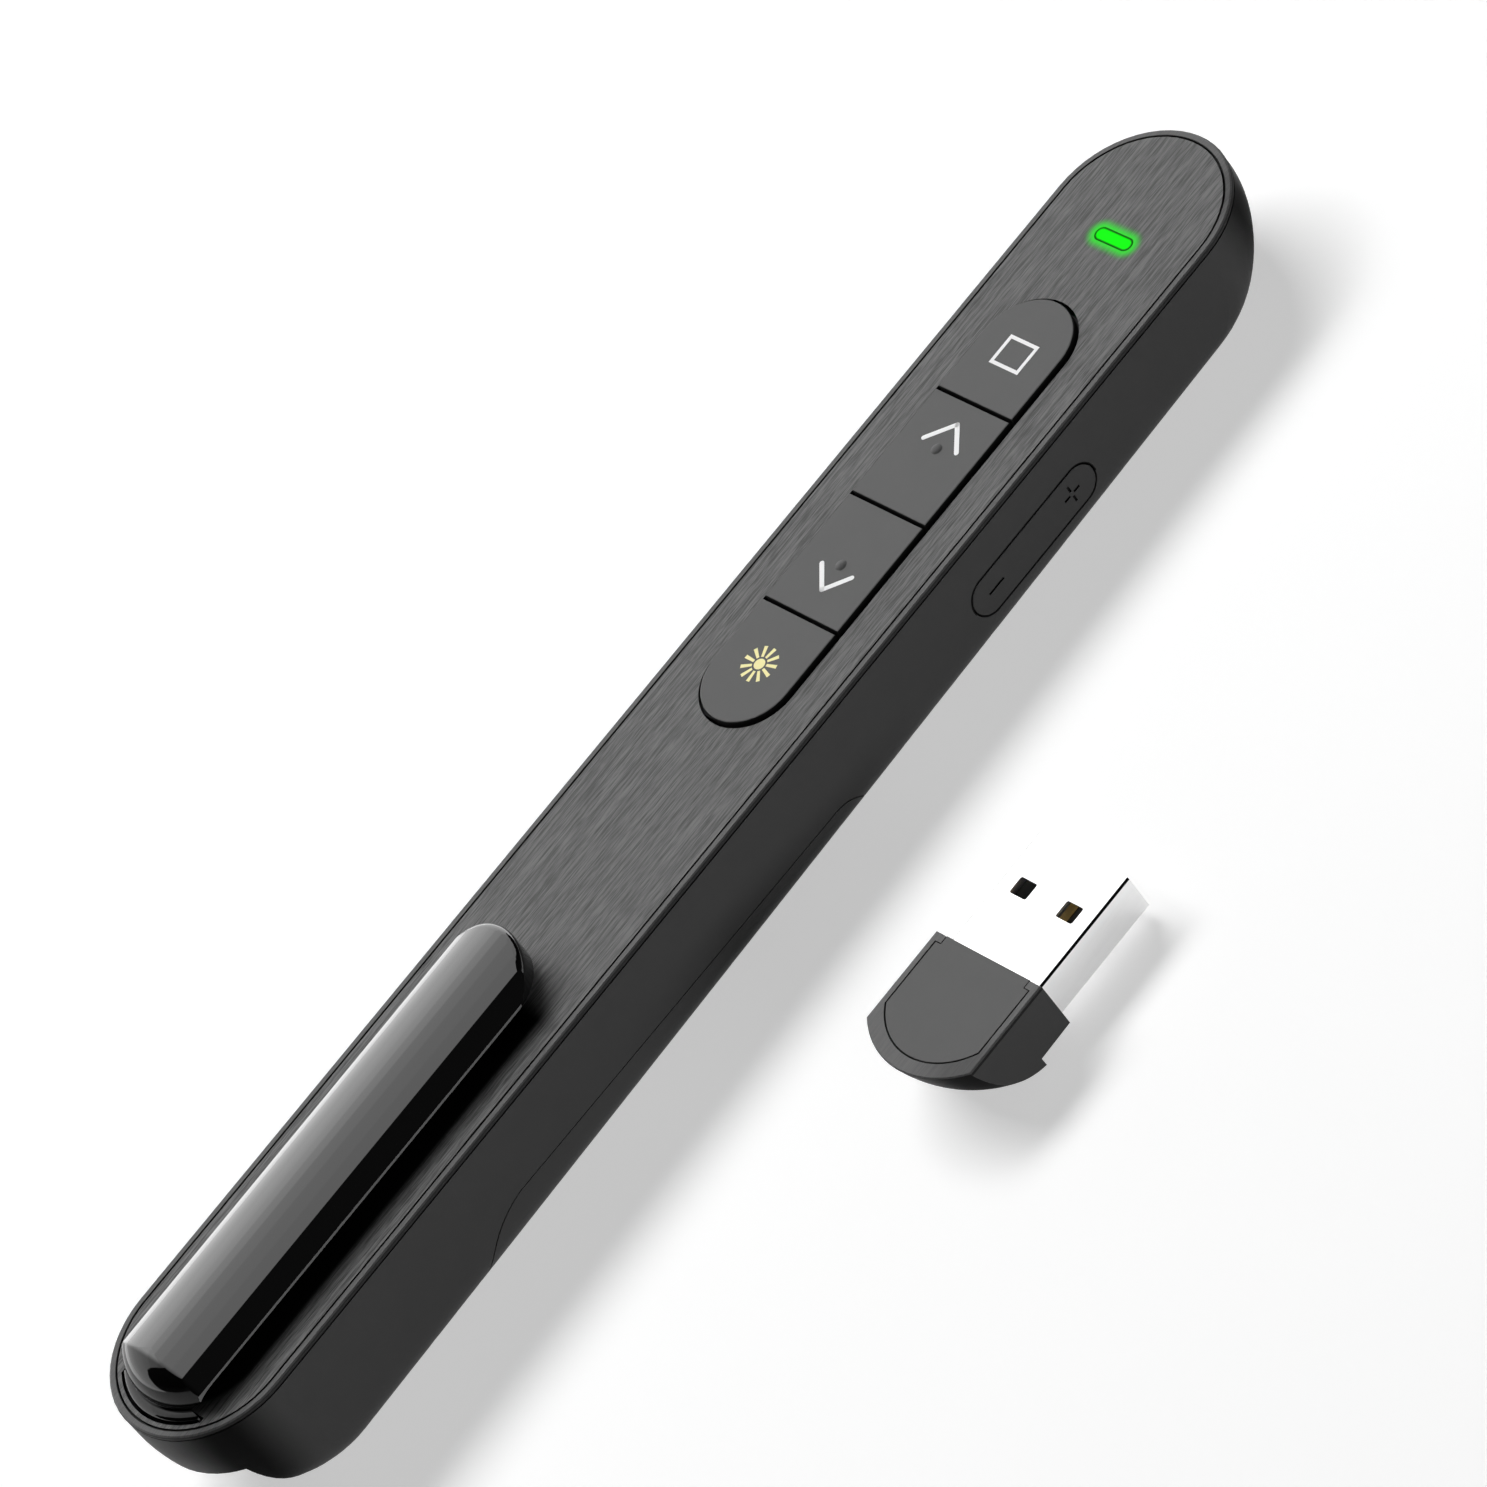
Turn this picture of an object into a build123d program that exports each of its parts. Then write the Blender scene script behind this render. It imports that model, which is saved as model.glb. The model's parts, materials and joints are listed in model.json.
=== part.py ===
from build123d import *
import os
from math import atan2, cos, pi, sin, sqrt

# Pen-shaped wireless presentation clicker with its plug-in radio receiver, in millimetres.
# +Y points to the nose, +Z up. The pen lies on its flat underside, at Z = 0. Its top, the deck,
# slopes down to the nose. Places on the pen are given from the middle of the deck: along is
# towards the nose, across is towards +X, and depth is below the deck, square to it.

os.makedirs("parts", exist_ok=True)

# ---------------------------------------------------------------- driving dimensions

# outer form of the pen
body_length = 155.3
body_width = 20.5
tail_height = 14.5
nose_height = 10.6
lower_edge_radius = 3.0
tail_sweep_length = 6.9      # the tail end curves in under the pen over this length
tail_sweep_height = 12.0
nose_sweep_length = 8.3
nose_sweep_height = 8.8
wall = 1.4
floor_thickness = 2.8
rim_chamfer = 0.22
parting_depth = 0.45          # fine groove round the walls, below the rim
parting_height = 0.16
parting_sink = 0.12

# brushed face plate let into the deck
rim_width = 0.76
seam = 0.18
plate_thickness = 0.6

# four keys in one slot-shaped pad
pad_middle = 31.2
pad_length = 50.7
pad_width = 10.3
key_count = 4
key_pitch = 12.85
key_gap = 0.35
pad_clearance = 0.38
key_rise = 0.43
key_travel = 0.35
key_edge_fillet = 0.15
key_flange_thickness = 0.6
key_flange_reach = 1.0
key_lift_gap = 0.05
nub_radius = 0.60
nub_rise = 0.28
nub_up_offset = 0.9         # the page-up key's nub is forward of its middle
nub_down_offset = -0.4       # and the page-down key's is behind it

# push switches under the keys and behind the rocker
switch_size = 4.5
switch_height = 1.6
plunger_radius = 0.9
plunger_rise = 0.5
plunger_clearance = 0.06
plunger_sink = 1.0           # length of the plunger inside its switch

# main circuit board
board_thickness = 0.8
board_margin = 3.25           # from the board's edge to the side of the pen
board_start = 8.8
board_setback = 11.45         # from the board's end to the nose
boss_radius = 1.7
boss_length = 5.9
screw_radius = 0.75
screw_length = 4.0
screw_head_radius = 1.4
screw_head_height = 0.9
screw_clearance = 0.04
screw_inset = 2.2
screw_side_inset = 1.7

# status lamp
lamp_along = 64.7
lamp_length = 4.8
lamp_width = 1.45
lamp_clearance = 0.05
lamp_flange = 0.5
led_width = 3.0
led_length = 1.3
led_height = 0.8
chip_size = 6.0
chip_height = 0.9
chip_along = 31.2
crystal_along = 18.4
crystal_length = 3.2
crystal_width = 2.5
crystal_height = 0.8

# volume rocker in the right-hand wall
rocker_along = 37.2
rocker_depth = 6.6
rocker_length = 17.4
rocker_height = 4.1
rocker_thickness = 1.55
rocker_clearance = 0.14
rocker_mark_length = 2.1      # plus and minus sunk in its face over the posts
rocker_mark_stroke = 0.26
rocker_mark_break = 0.55      # the plus is broken at its middle
rocker_mark_depth = 0.15
rocker_post_along = 5.6
rocker_post_gap = 0.30
rocker_lug_width = 2.6
rocker_lug_height = 3.0
rocker_pin_radius = 0.5
rocker_pin_inset = 1.95
pin_clearance = 0.05
ear_thickness = 0.8
ear_reach = 1.0
side_switch_length = 4.5
side_switch_height = 3.4
side_board_thickness = 0.8
side_board_margin = 0.8
side_board_foot = 0.2         # length of the side board below its switches
side_plunger_radius = 0.7

# laser pointer in the nose
laser_depth = 4.9
laser_radius = 2.75
laser_setback = 3.45          # from the front of the barrel to the nose
laser_length = 7.5
laser_bore_radius = 1.7
laser_clearance = 0.02
lens_thickness = 1.0
lens_clearance = 0.03
diode_length = 1.8
bezel_radius = 2.1
bezel_bore_radius = 1.5
bezel_clearance = 0.05

# pocket clip
clip_width = 11.2
clip_tip = -21.9
clip_gap = 1.6
clip_thickness = 3.3
clip_flank_width = 1.2        # flat flank on each side of the crowned top
clip_crown_rise = 1.15
clip_side_height = 0.28       # narrow upright side under each flank
clip_tip_fillet = 0.8
clip_ring = 0.7               # plate left showing between the clip's foot and the rim
clip_heel_bend = 3.6
clip_collar_width = 0.85      # round bead at the foot of the heel
clip_collar_height = 0.5
clip_root_length = 2.15
clip_throat_length = 3.05
clip_stem_width = 9.2
clip_stem_clearance = 0.3
clip_pivot_depth = 2.0
clip_pivot_radius = 1.4
clip_pivot_inset = 2.4
clip_foot_sink = 0.25         # the clip's foot starts this far down in the plate's opening
clip_pin_radius = 0.6
clip_pin_overhang = 1.2
clip_lever_length = 3.0
clip_lever_thickness = 0.9
clip_lever_drop = 0.3
clip_pad_length = 4.0
clip_pad_width = 5.0
clip_pad_gap = 0.15
clip_pad_inset = 3.2
clip_pocket_depth = 3.4
clip_spring_thickness = 0.2
clip_spring_width = 3.0

# AAA cell and its bay
cell_radius = 5.25
cell_length = 43.7
cell_nub_radius = 1.9
cell_nub_length = 0.8
cell_clearance = 0.15
cell_tail = -43.8
contact_thickness = 0.4
contact_width = 8.0
contact_height = 7.0
coil_wire = 0.3
coil_wire_sides = 8
coil_radius = 3.2
coil_length = 5.2
coil_turns = 3
bay_wall = 1.1

# battery door, wrapped round the underside
door_thickness = 1.0
door_gap = 0.10
door_side_wall = 1.45
door_tail = -47.2
door_tail_shoulder = -39.5
door_tail_rise = 5.05
door_nose_shoulder = 5.4
door_nose_rise = 3.3
door_nose = 9.5
door_tab_width = 2.6
door_tab_across = 4.0
door_tab_reach = 1.3
door_tab_thickness = 0.8
door_tab_lift = 0.9
door_tab_swing = 0.55        # room round the tabs for the door to tilt

# plug-in receiver and its bay in the tail
receiver_length = 12.9
receiver_width = 14.2
receiver_height = 7.15
receiver_step_length = 4.1
receiver_step_height = 1.27
receiver_clearance = 0.12
receiver_beside = 39.87      # how far to the right of the pen the receiver lies
receiver_along = 63.86       # and how far forward of its bay
receiver_edge_bevel = 0.15
cap_inset = 0.75
cap_tail_inset = 1.45
cap_arc_sagitta = 3.35
cap_thickness = 0.8
cap_seam = 0.09
cap_notch_length = 0.85
cap_notch_inset = 0.7
hollow_width = 10.6
hollow_start = 2.6
hollow_length = 6.4
hollow_depth = 4.1

# USB type A plug
plug_width = 12.0
plug_height = 4.5
plug_length = 12.9
plug_drop = 1.15             # top of the plug below the top of the receiver
plug_root = 3.0
plug_wall = 0.3
plug_clearance = 0.10
window_width = 2.2
window_length = 1.85
window_along = 7.55
window_across = 3.1
window_corner = 0.25
tongue_width = 11.2
tongue_thickness = 1.9
tongue_setback = 0.6
contact_pad_width = 1.0
contact_pad_length = 7.4
contact_pad_thickness = 0.12
contact_pad_inner = 1.0
contact_pad_outer = 3.5
receiver_board_thickness = 0.8
receiver_board_width = 10.2
receiver_board_length = 5.6
receiver_chip_size = 5.0
receiver_chip_height = 1.0

# ---------------------------------------------------------------- the deck and what follows from it

half_length = body_length / 2
half_width = body_width / 2
mid_height = (tail_height + nose_height) / 2
slope = atan2(tail_height - nose_height, body_length)
across_axis = Vector(1, 0, 0)
along_axis = Vector(0, cos(slope), -sin(slope))
up_axis = Vector(0, sin(slope), cos(slope))
deck_middle = Vector(0, 0, mid_height * cos(slope))
deck = Plane(origin=deck_middle, x_dir=across_axis, z_dir=up_axis)
side = Plane(origin=deck_middle, x_dir=along_axis, z_dir=across_axis)
deck_axis = Axis(deck_middle, up_axis)

plate_half_width = half_width - rim_width - seam
tail_centre = -half_length + half_width
board_depth = plate_thickness + key_lift_gap + key_flange_thickness + plunger_rise + switch_height
key_middles = [pad_middle + (number - (key_count - 1) / 2) * key_pitch for number in range(key_count)]
cell_axis_height = door_thickness + cell_clearance + cell_radius
bay_half_width = cell_radius + cell_clearance
bay_tail = cell_tail - cell_nub_length - contact_thickness
bay_nose = cell_tail + cell_length + coil_length + contact_thickness
cavity_half_width = half_width - wall
clip_top = clip_gap + clip_thickness
clip_foot_radius = plate_half_width - clip_ring
clip_heel = tail_centre - clip_foot_radius
clip_pivot = clip_heel + clip_pivot_inset
clip_root_front = clip_heel + clip_root_length
clip_shoulder = clip_gap + clip_side_height
clip_crown_width = clip_width - 2 * clip_flank_width
clip_crown_edge = clip_top - clip_crown_rise
rocker_pin_across = half_width - rocker_pin_inset
rocker_inner = half_width - rocker_thickness
side_plunger_tip = rocker_inner - 0.5 - rocker_post_gap
side_switch_face = side_plunger_tip - plunger_rise
side_board_face = side_switch_face - switch_height
window_top_depth = rocker_depth - rocker_height / 2 - rocker_clearance
window_bottom_depth = rocker_depth + rocker_height / 2 + rocker_clearance
key_underside = plate_thickness + key_lift_gap + key_flange_thickness
board_end = half_length - board_setback
board_width = body_width - 2 * board_margin
screw_across = board_width / 2 - screw_side_inset
screw_places = [(x, y) for x in (-screw_across, screw_across)
                for y in (board_start + screw_inset, board_end - screw_inset)]
laser_front = half_length - laser_setback
laser_start = laser_front - laser_length
receiver_shift = Vector(receiver_beside, receiver_along, 0)


def deck_point(across, along, depth):
    """A point given from the middle of the deck, in the part's own frame."""
    return deck_middle + across_axis * across + along_axis * along - up_axis * depth


def cross_plane(along):
    """Plane square to the pen at a place along it: local X across, local Y up."""
    return Plane(origin=deck_point(0, along, 0), x_dir=across_axis, z_dir=-along_axis)


def ellipse_inset(depth, full_depth, length, height):
    """How far a quarter ellipse at the foot of a wall has come in at this depth."""
    climb = max(0.0, depth - (full_depth - height)) / height
    return length * (1 - sqrt(max(0.0, 1 - climb * climb)))


def pen_form():
    """Outer form: slot-shaped sections from below the rim's chamfer down to the flat underside."""
    straight_share = 1 - lower_edge_radius / mid_height
    shares = [0.17, 0.33, 0.48, 0.62, straight_share]
    shares += [1 - (1 - straight_share) * (1 - sin(turn * pi / 180)) for turn in (15, 30, 45, 60, 75, 90)]
    with BuildPart() as form:
        with BuildSketch(deck.offset(-rim_chamfer)):
            SlotOverall(body_length, body_width, rotation=90)
        for share in shares:
            section_slope = slope * (1 - share)
            plane = Plane(
                origin=deck_middle - up_axis * (share * mid_height),
                x_dir=across_axis,
                z_dir=Vector(0, sin(section_slope), cos(section_slope)),
            )
            side_inset = ellipse_inset(share * mid_height, mid_height, lower_edge_radius, lower_edge_radius)
            tail_inset = ellipse_inset(share * tail_height, tail_height, tail_sweep_length, tail_sweep_height)
            nose_inset = ellipse_inset(share * nose_height, nose_height, nose_sweep_length, nose_sweep_height)
            with BuildSketch(plane):
                with Locations((0, (tail_inset - nose_inset) / 2)):
                    SlotOverall(
                        body_length - tail_inset - nose_inset,
                        body_width - 2 * side_inset,
                        rotation=90,
                    )
        loft()
        with BuildSketch(deck.offset(-rim_chamfer)):
            SlotOverall(body_length, body_width, rotation=90)
        extrude(amount=rim_chamfer, taper=45)
    return form.part


outer_form = pen_form()

# ---------------------------------------------------------------- battery door


def door_zone(gap):
    """The stretch of the pen that the door takes up, grown by a gap at its edges."""
    with BuildPart() as zone:
        with BuildSketch(Plane.YZ):
            with BuildLine():
                Line((door_tail - gap, -1), (door_tail - gap, 0))
                Spline(
                    (door_tail - gap, 0),
                    (door_tail_shoulder - 4.0 - gap, 3.8 + gap),
                    (door_tail_shoulder, door_tail_rise + gap),
                )
                Line((door_tail_shoulder, door_tail_rise + gap), (door_nose_shoulder, door_nose_rise + gap))
                Spline(
                    (door_nose_shoulder, door_nose_rise + gap),
                    (door_nose_shoulder + 2.4 + gap, 2.7 + gap),
                    (door_nose + gap, 0),
                )
                Polyline((door_nose + gap, 0), (door_nose + gap, -1), (door_tail - gap, -1))
            make_face()
        extrude(amount=body_width, both=True)
    return zone.part


def door_core(gap):
    """What the door wraps round: the cell's cradle, above the door's floor."""
    with BuildPart() as core:
        with BuildSketch(Plane.XY.offset(door_thickness + gap)):
            with Locations((0, (door_tail + door_nose) / 2)):
                Rectangle(2 * (half_width - door_side_wall - gap), door_nose - door_tail + 4)
        extrude(amount=tail_height)
    return core.part


def door_tabs(gap):
    """Two tabs at the door's nose end that hook in over the housing."""
    with BuildPart() as tabs:
        with BuildSketch(Plane.XY.offset(door_tab_lift - gap)):
            with Locations((-door_tab_across, door_nose - 1), (door_tab_across, door_nose - 1)):
                Rectangle(door_tab_width + 2 * gap, 2 * (door_tab_reach + 1 + gap))
        extrude(amount=door_tab_thickness + 2 * gap)
    return tabs.part


with BuildPart() as battery_door:
    add(outer_form)
    add(door_zone(0), mode=Mode.INTERSECT)
    add(door_core(0), mode=Mode.SUBTRACT)
    add(door_tabs(0))
battery_door.part.label = "battery_door"
export_step(battery_door.part, "parts/battery_door.step")

# ---------------------------------------------------------------- receiver bay

dock_inset = ellipse_inset(tail_height - receiver_height, tail_height, tail_sweep_length, tail_sweep_height)
dock_front = dock_inset + receiver_length - half_length
dock_depth = (mid_height - slope * dock_front) - receiver_height
dock_top = deck.offset(-dock_depth)
plug_middle_depth = dock_depth + plug_drop + plug_height / 2
lip_start = deck_point(0, dock_front - receiver_step_length, dock_depth + receiver_height).Y


def receiver_zone(gap):
    """Space of the docked receiver: a block under its top, with a step over the pen's floor."""
    with BuildPart() as zone:
        with BuildSketch(dock_top.offset(gap)):
            with Locations((0, dock_front + gap - receiver_length)):
                Rectangle(receiver_width + 2 * gap, 2 * receiver_length)
        extrude(amount=-2 * receiver_height)
        with BuildSketch(Plane.XY.offset(receiver_step_height - gap)):
            with Locations((0, lip_start + gap + receiver_length)):
                Rectangle(2 * receiver_width, 2 * receiver_length)
        extrude(amount=-2 * receiver_height, mode=Mode.SUBTRACT)
    return zone.part


# ---------------------------------------------------------------- housing


def clip_opening(gap):
    """Opening for the clip's foot, round at the tail like the end of the pen."""
    with BuildSketch() as opening:
        with Locations((0, tail_centre)):
            Circle(clip_foot_radius + gap)
        with Locations((0, clip_root_front + gap - clip_foot_radius)):
            Rectangle(clip_width + 2 * gap, 2 * clip_foot_radius, mode=Mode.INTERSECT)
    return opening.sketch


pocket_nose = clip_pivot + clip_pivot_radius + clip_lever_length + clip_stem_clearance
rocker_wall = Plane(
    origin=deck_point(half_width, rocker_along, rocker_depth),
    x_dir=along_axis,
    z_dir=across_axis,
)
clip_axis_plane = Plane(
    origin=deck_point(0, clip_pivot, clip_pivot_depth),
    x_dir=along_axis,
    z_dir=across_axis,
)

with BuildPart() as housing:
    add(outer_form)
    # recess for the face plate
    with BuildSketch(deck):
        SlotOverall(body_length - 2 * rim_width, body_width - 2 * rim_width, rotation=90)
    extrude(amount=-plate_thickness, mode=Mode.SUBTRACT)
    # groove between the frame round the plate and the shell below it
    with BuildSketch(deck.offset(-parting_depth)):
        SlotOverall(body_length + 2, body_width + 2, rotation=90)
        SlotOverall(body_length - 2 * parting_sink, body_width - 2 * parting_sink, rotation=90, mode=Mode.SUBTRACT)
    extrude(amount=-parting_height, mode=Mode.SUBTRACT)
    # space for the circuit board, the switches and the laser
    with BuildSketch(Plane.XY.offset(floor_thickness)):
        with BuildLine():
            Polyline(
                (-cavity_half_width, half_length - half_width - 2),
                (-cavity_half_width, bay_nose + bay_wall),
                (cavity_half_width, bay_nose + bay_wall),
                (cavity_half_width, half_length - half_width - 2),
            )
            ThreePointArc(
                (cavity_half_width, half_length - half_width - 2),
                (0, half_length - half_width + 4.2),
                (-cavity_half_width, half_length - half_width - 2),
            )
        make_face()
    extrude(amount=tail_height, mode=Mode.SUBTRACT)
    # room for the flanges of the keys under the plate
    with BuildSketch(deck.offset(-plate_thickness)):
        with Locations((0, pad_middle)):
            Rectangle(
                pad_width + 2 * key_flange_reach + 2 * pad_clearance,
                pad_length + 4 * pad_clearance,
            )
    extrude(amount=-(key_underside - plate_thickness + key_travel + pad_clearance), mode=Mode.SUBTRACT)
    # seat of the laser, and the bore of its bezel out through the nose
    with BuildSketch(cross_plane(laser_start)):
        with Locations((0, -laser_depth)):
            Circle(laser_radius + laser_clearance)
    extrude(amount=-laser_length, mode=Mode.SUBTRACT)
    with BuildSketch(cross_plane(laser_start)):
        with Locations((0, -laser_depth)):
            Circle(bezel_radius + bezel_clearance)
    extrude(amount=-2 * half_width, mode=Mode.SUBTRACT)
    # bosses under the circuit board, drilled for its screws
    with BuildSketch(deck.offset(-board_depth - board_thickness)):
        with Locations(*screw_places):
            Circle(boss_radius)
    extrude(amount=-boss_length)
    with BuildSketch(deck.offset(-board_depth - board_thickness)):
        with Locations(*screw_places):
            Circle(screw_radius + screw_clearance)
    extrude(amount=-screw_length, mode=Mode.SUBTRACT)
    # window of the rocker, and two ears that hold its pin
    with BuildSketch(rocker_wall.offset(1)):
        SlotOverall(rocker_length + 2 * rocker_clearance, rocker_height + 2 * rocker_clearance)
    extrude(amount=-(1 + 1.5 * wall), mode=Mode.SUBTRACT)
    ear_width = half_width - wall - rocker_pin_across + ear_reach
    for ear_top in (window_top_depth - ear_thickness, window_bottom_depth):
        with BuildSketch(deck.offset(-ear_top)):
            with Locations((half_width - wall - ear_width / 2 + 0.1, rocker_along)):
                Rectangle(ear_width + 0.2, 2 * ear_reach + 1)
        extrude(amount=-ear_thickness)
    with BuildSketch(deck.offset(-(window_top_depth - ear_thickness))):
        with Locations((rocker_pin_across, rocker_along)):
            Circle(rocker_pin_radius)
    extrude(
        amount=-(window_bottom_depth - window_top_depth + 2 * ear_thickness),
        mode=Mode.SUBTRACT,
    )
    # pocket of the clip's foot, its pin and its spring
    with BuildSketch(deck.offset(-plate_thickness)):
        with Locations((0, tail_centre)):
            Circle(clip_foot_radius + clip_stem_clearance)
        with Locations((0, pocket_nose - clip_foot_radius)):
            Rectangle(
                clip_stem_width + 2 * clip_stem_clearance,
                2 * clip_foot_radius,
                mode=Mode.INTERSECT,
            )
    extrude(amount=-clip_pocket_depth, mode=Mode.SUBTRACT)
    with BuildSketch(clip_axis_plane):
        Circle(clip_pin_radius)
    extrude(
        amount=clip_stem_width / 2 + clip_stem_clearance + clip_pin_overhang,
        both=True,
        mode=Mode.SUBTRACT,
    )
    # bay for the cell, open to the door below and to the plate above
    with BuildSketch(Plane.XY):
        with Locations((0, (bay_tail + bay_nose) / 2)):
            Rectangle(2 * bay_half_width, bay_nose - bay_tail)
    extrude(amount=2 * tail_height, both=True, mode=Mode.SUBTRACT)
    # seat of the battery door
    add(door_zone(door_gap) - door_core(door_gap), mode=Mode.SUBTRACT)
    add(door_tabs(door_tab_swing), mode=Mode.SUBTRACT)
    # bay of the receiver and tunnel of its plug
    add(receiver_zone(receiver_clearance), mode=Mode.SUBTRACT)
    with BuildSketch(cross_plane(dock_front)):
        with Locations((0, -plug_middle_depth)):
            Rectangle(plug_width + 2 * plug_clearance, plug_height + 2 * plug_clearance)
    extrude(amount=-(plug_length + 5 * plug_clearance), mode=Mode.SUBTRACT)
housing.part.label = "housing"
export_step(housing.part, "parts/housing.step")

# ---------------------------------------------------------------- face plate

with BuildPart() as face_plate:
    with BuildSketch(deck):
        SlotOverall(2 * (half_length - rim_width - seam), 2 * plate_half_width, rotation=90)
        with Locations((0, pad_middle)):
            SlotOverall(
                pad_length + 2 * pad_clearance,
                pad_width + 2 * pad_clearance,
                rotation=90,
                mode=Mode.SUBTRACT,
            )
        with Locations((0, lamp_along)):
            SlotOverall(
                lamp_length + 2 * lamp_clearance,
                lamp_width + 2 * lamp_clearance,
                mode=Mode.SUBTRACT,
            )
        add(clip_opening(clip_stem_clearance), mode=Mode.SUBTRACT)
    extrude(amount=-plate_thickness)
face_plate.part.label = "face_plate"
export_step(face_plate.part, "parts/face_plate.step")

# ---------------------------------------------------------------- keys


def key(number, nub_offset=None):
    """One key of the pad: a cap that shows, a flange under the plate and perhaps a nub to feel."""
    middle = key_middles[number]
    with BuildPart() as cap:
        with BuildSketch(deck.offset(key_rise)):
            with Locations((0, pad_middle)):
                SlotOverall(pad_length, pad_width, rotation=90)
            with Locations((0, middle)):
                Rectangle(pad_width, key_pitch, mode=Mode.INTERSECT)
            with Locations((0, middle - key_pitch / 2), (0, middle + key_pitch / 2)):
                Rectangle(pad_width, key_gap, mode=Mode.SUBTRACT)
        extrude(amount=-(key_rise + key_underside))
        fillet(cap.edges().group_by(deck_axis)[-1], radius=key_edge_fillet)
        with BuildSketch(deck.offset(-plate_thickness - key_lift_gap)):
            with Locations((0, middle)):
                Rectangle(pad_width + 2 * key_flange_reach, key_pitch - 3 * key_gap)
        extrude(amount=-key_flange_thickness)
        if nub_offset is not None:
            ball_radius = (nub_radius**2 + nub_rise**2) / (2 * nub_rise)
            with Locations(deck_point(0, middle + nub_offset, ball_radius - nub_rise - key_rise)):
                Sphere(ball_radius)
    return cap.part


with BuildPart() as key_laser:
    add(key(0))
key_laser.part.label = "key_laser"
export_step(key_laser.part, "parts/key_laser.step")

with BuildPart() as key_page_down:
    add(key(1, nub_down_offset))
key_page_down.part.label = "key_page_down"
export_step(key_page_down.part, "parts/key_page_down.step")

with BuildPart() as key_page_up:
    add(key(2, nub_up_offset))
key_page_up.part.label = "key_page_up"
export_step(key_page_up.part, "parts/key_page_up.step")

with BuildPart() as key_blank_screen:
    add(key(3))
key_blank_screen.part.label = "key_blank_screen"
export_step(key_blank_screen.part, "parts/key_blank_screen.step")

# ---------------------------------------------------------------- switches under the keys

with BuildPart() as key_switches:
    with BuildSketch(deck.offset(-board_depth)):
        with Locations(*[(0, middle) for middle in key_middles]):
            Rectangle(switch_size, switch_size)
    extrude(amount=switch_height)
    with BuildSketch(deck.offset(-key_underside - plunger_rise)):
        with Locations(*[(0, middle) for middle in key_middles]):
            Circle(plunger_radius + plunger_clearance)
    extrude(amount=-(plunger_sink + key_travel + plunger_clearance), mode=Mode.SUBTRACT)
key_switches.part.label = "key_switches"
export_step(key_switches.part, "parts/key_switches.step")

plunger_names = ["plunger_laser", "plunger_page_down", "plunger_page_up", "plunger_blank_screen"]
for plunger_name, middle in zip(plunger_names, key_middles):
    with BuildPart() as plunger:
        with BuildSketch(deck.offset(-key_underside)):
            with Locations((0, middle)):
                Circle(plunger_radius)
        extrude(amount=-(plunger_rise + plunger_sink))
    plunger.part.label = plunger_name
    export_step(plunger.part, "parts/" + plunger_name + ".step")

# ---------------------------------------------------------------- circuit board and what it carries

with BuildPart() as main_board:
    with BuildSketch(deck.offset(-board_depth)):
        with Locations((0, (board_start + board_end) / 2)):
            RectangleRounded(board_width, board_end - board_start, 1)
        with Locations(*screw_places):
            Circle(screw_radius + screw_clearance, mode=Mode.SUBTRACT)
    extrude(amount=-board_thickness)
main_board.part.label = "main_board"
export_step(main_board.part, "parts/main_board.step")

with BuildPart() as board_screws:
    with BuildSketch(deck.offset(-board_depth)):
        with Locations(*screw_places):
            Circle(screw_head_radius)
    extrude(amount=screw_head_height)
    with BuildSketch(deck.offset(-board_depth)):
        with Locations(*screw_places):
            Circle(screw_radius)
    extrude(amount=-screw_length)
board_screws.part.label = "board_screws"
export_step(board_screws.part, "parts/board_screws.step")

with BuildPart() as controller_chip:
    with BuildSketch(deck.offset(-board_depth - board_thickness)):
        with Locations((0, chip_along)):
            Rectangle(chip_size, chip_size)
    extrude(amount=-chip_height)
controller_chip.part.label = "controller_chip"
export_step(controller_chip.part, "parts/controller_chip.step")

with BuildPart() as crystal:
    with BuildSketch(deck.offset(-board_depth)):
        with Locations((0, crystal_along)):
            RectangleRounded(crystal_length, crystal_width, 0.4)
    extrude(amount=crystal_height)
crystal.part.label = "crystal"
export_step(crystal.part, "parts/crystal.step")

with BuildPart() as lamp_led:
    with BuildSketch(deck.offset(-board_depth)):
        with Locations((0, lamp_along)):
            Rectangle(led_width, led_length)
    extrude(amount=led_height)
lamp_led.part.label = "lamp_led"
export_step(lamp_led.part, "parts/lamp_led.step")

with BuildPart() as lamp_light_guide:
    with BuildSketch(deck):
        with Locations((0, lamp_along)):
            SlotOverall(lamp_length, lamp_width)
    extrude(amount=-(board_depth - led_height))
    with BuildSketch(deck.offset(-plate_thickness)):
        with Locations((0, lamp_along)):
            SlotOverall(lamp_length + 2 * lamp_flange, lamp_width + 2 * lamp_flange)
    extrude(amount=-lamp_flange)
lamp_light_guide.part.label = "lamp_light_guide"
export_step(lamp_light_guide.part, "parts/lamp_light_guide.step")

# ---------------------------------------------------------------- volume rocker

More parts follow.
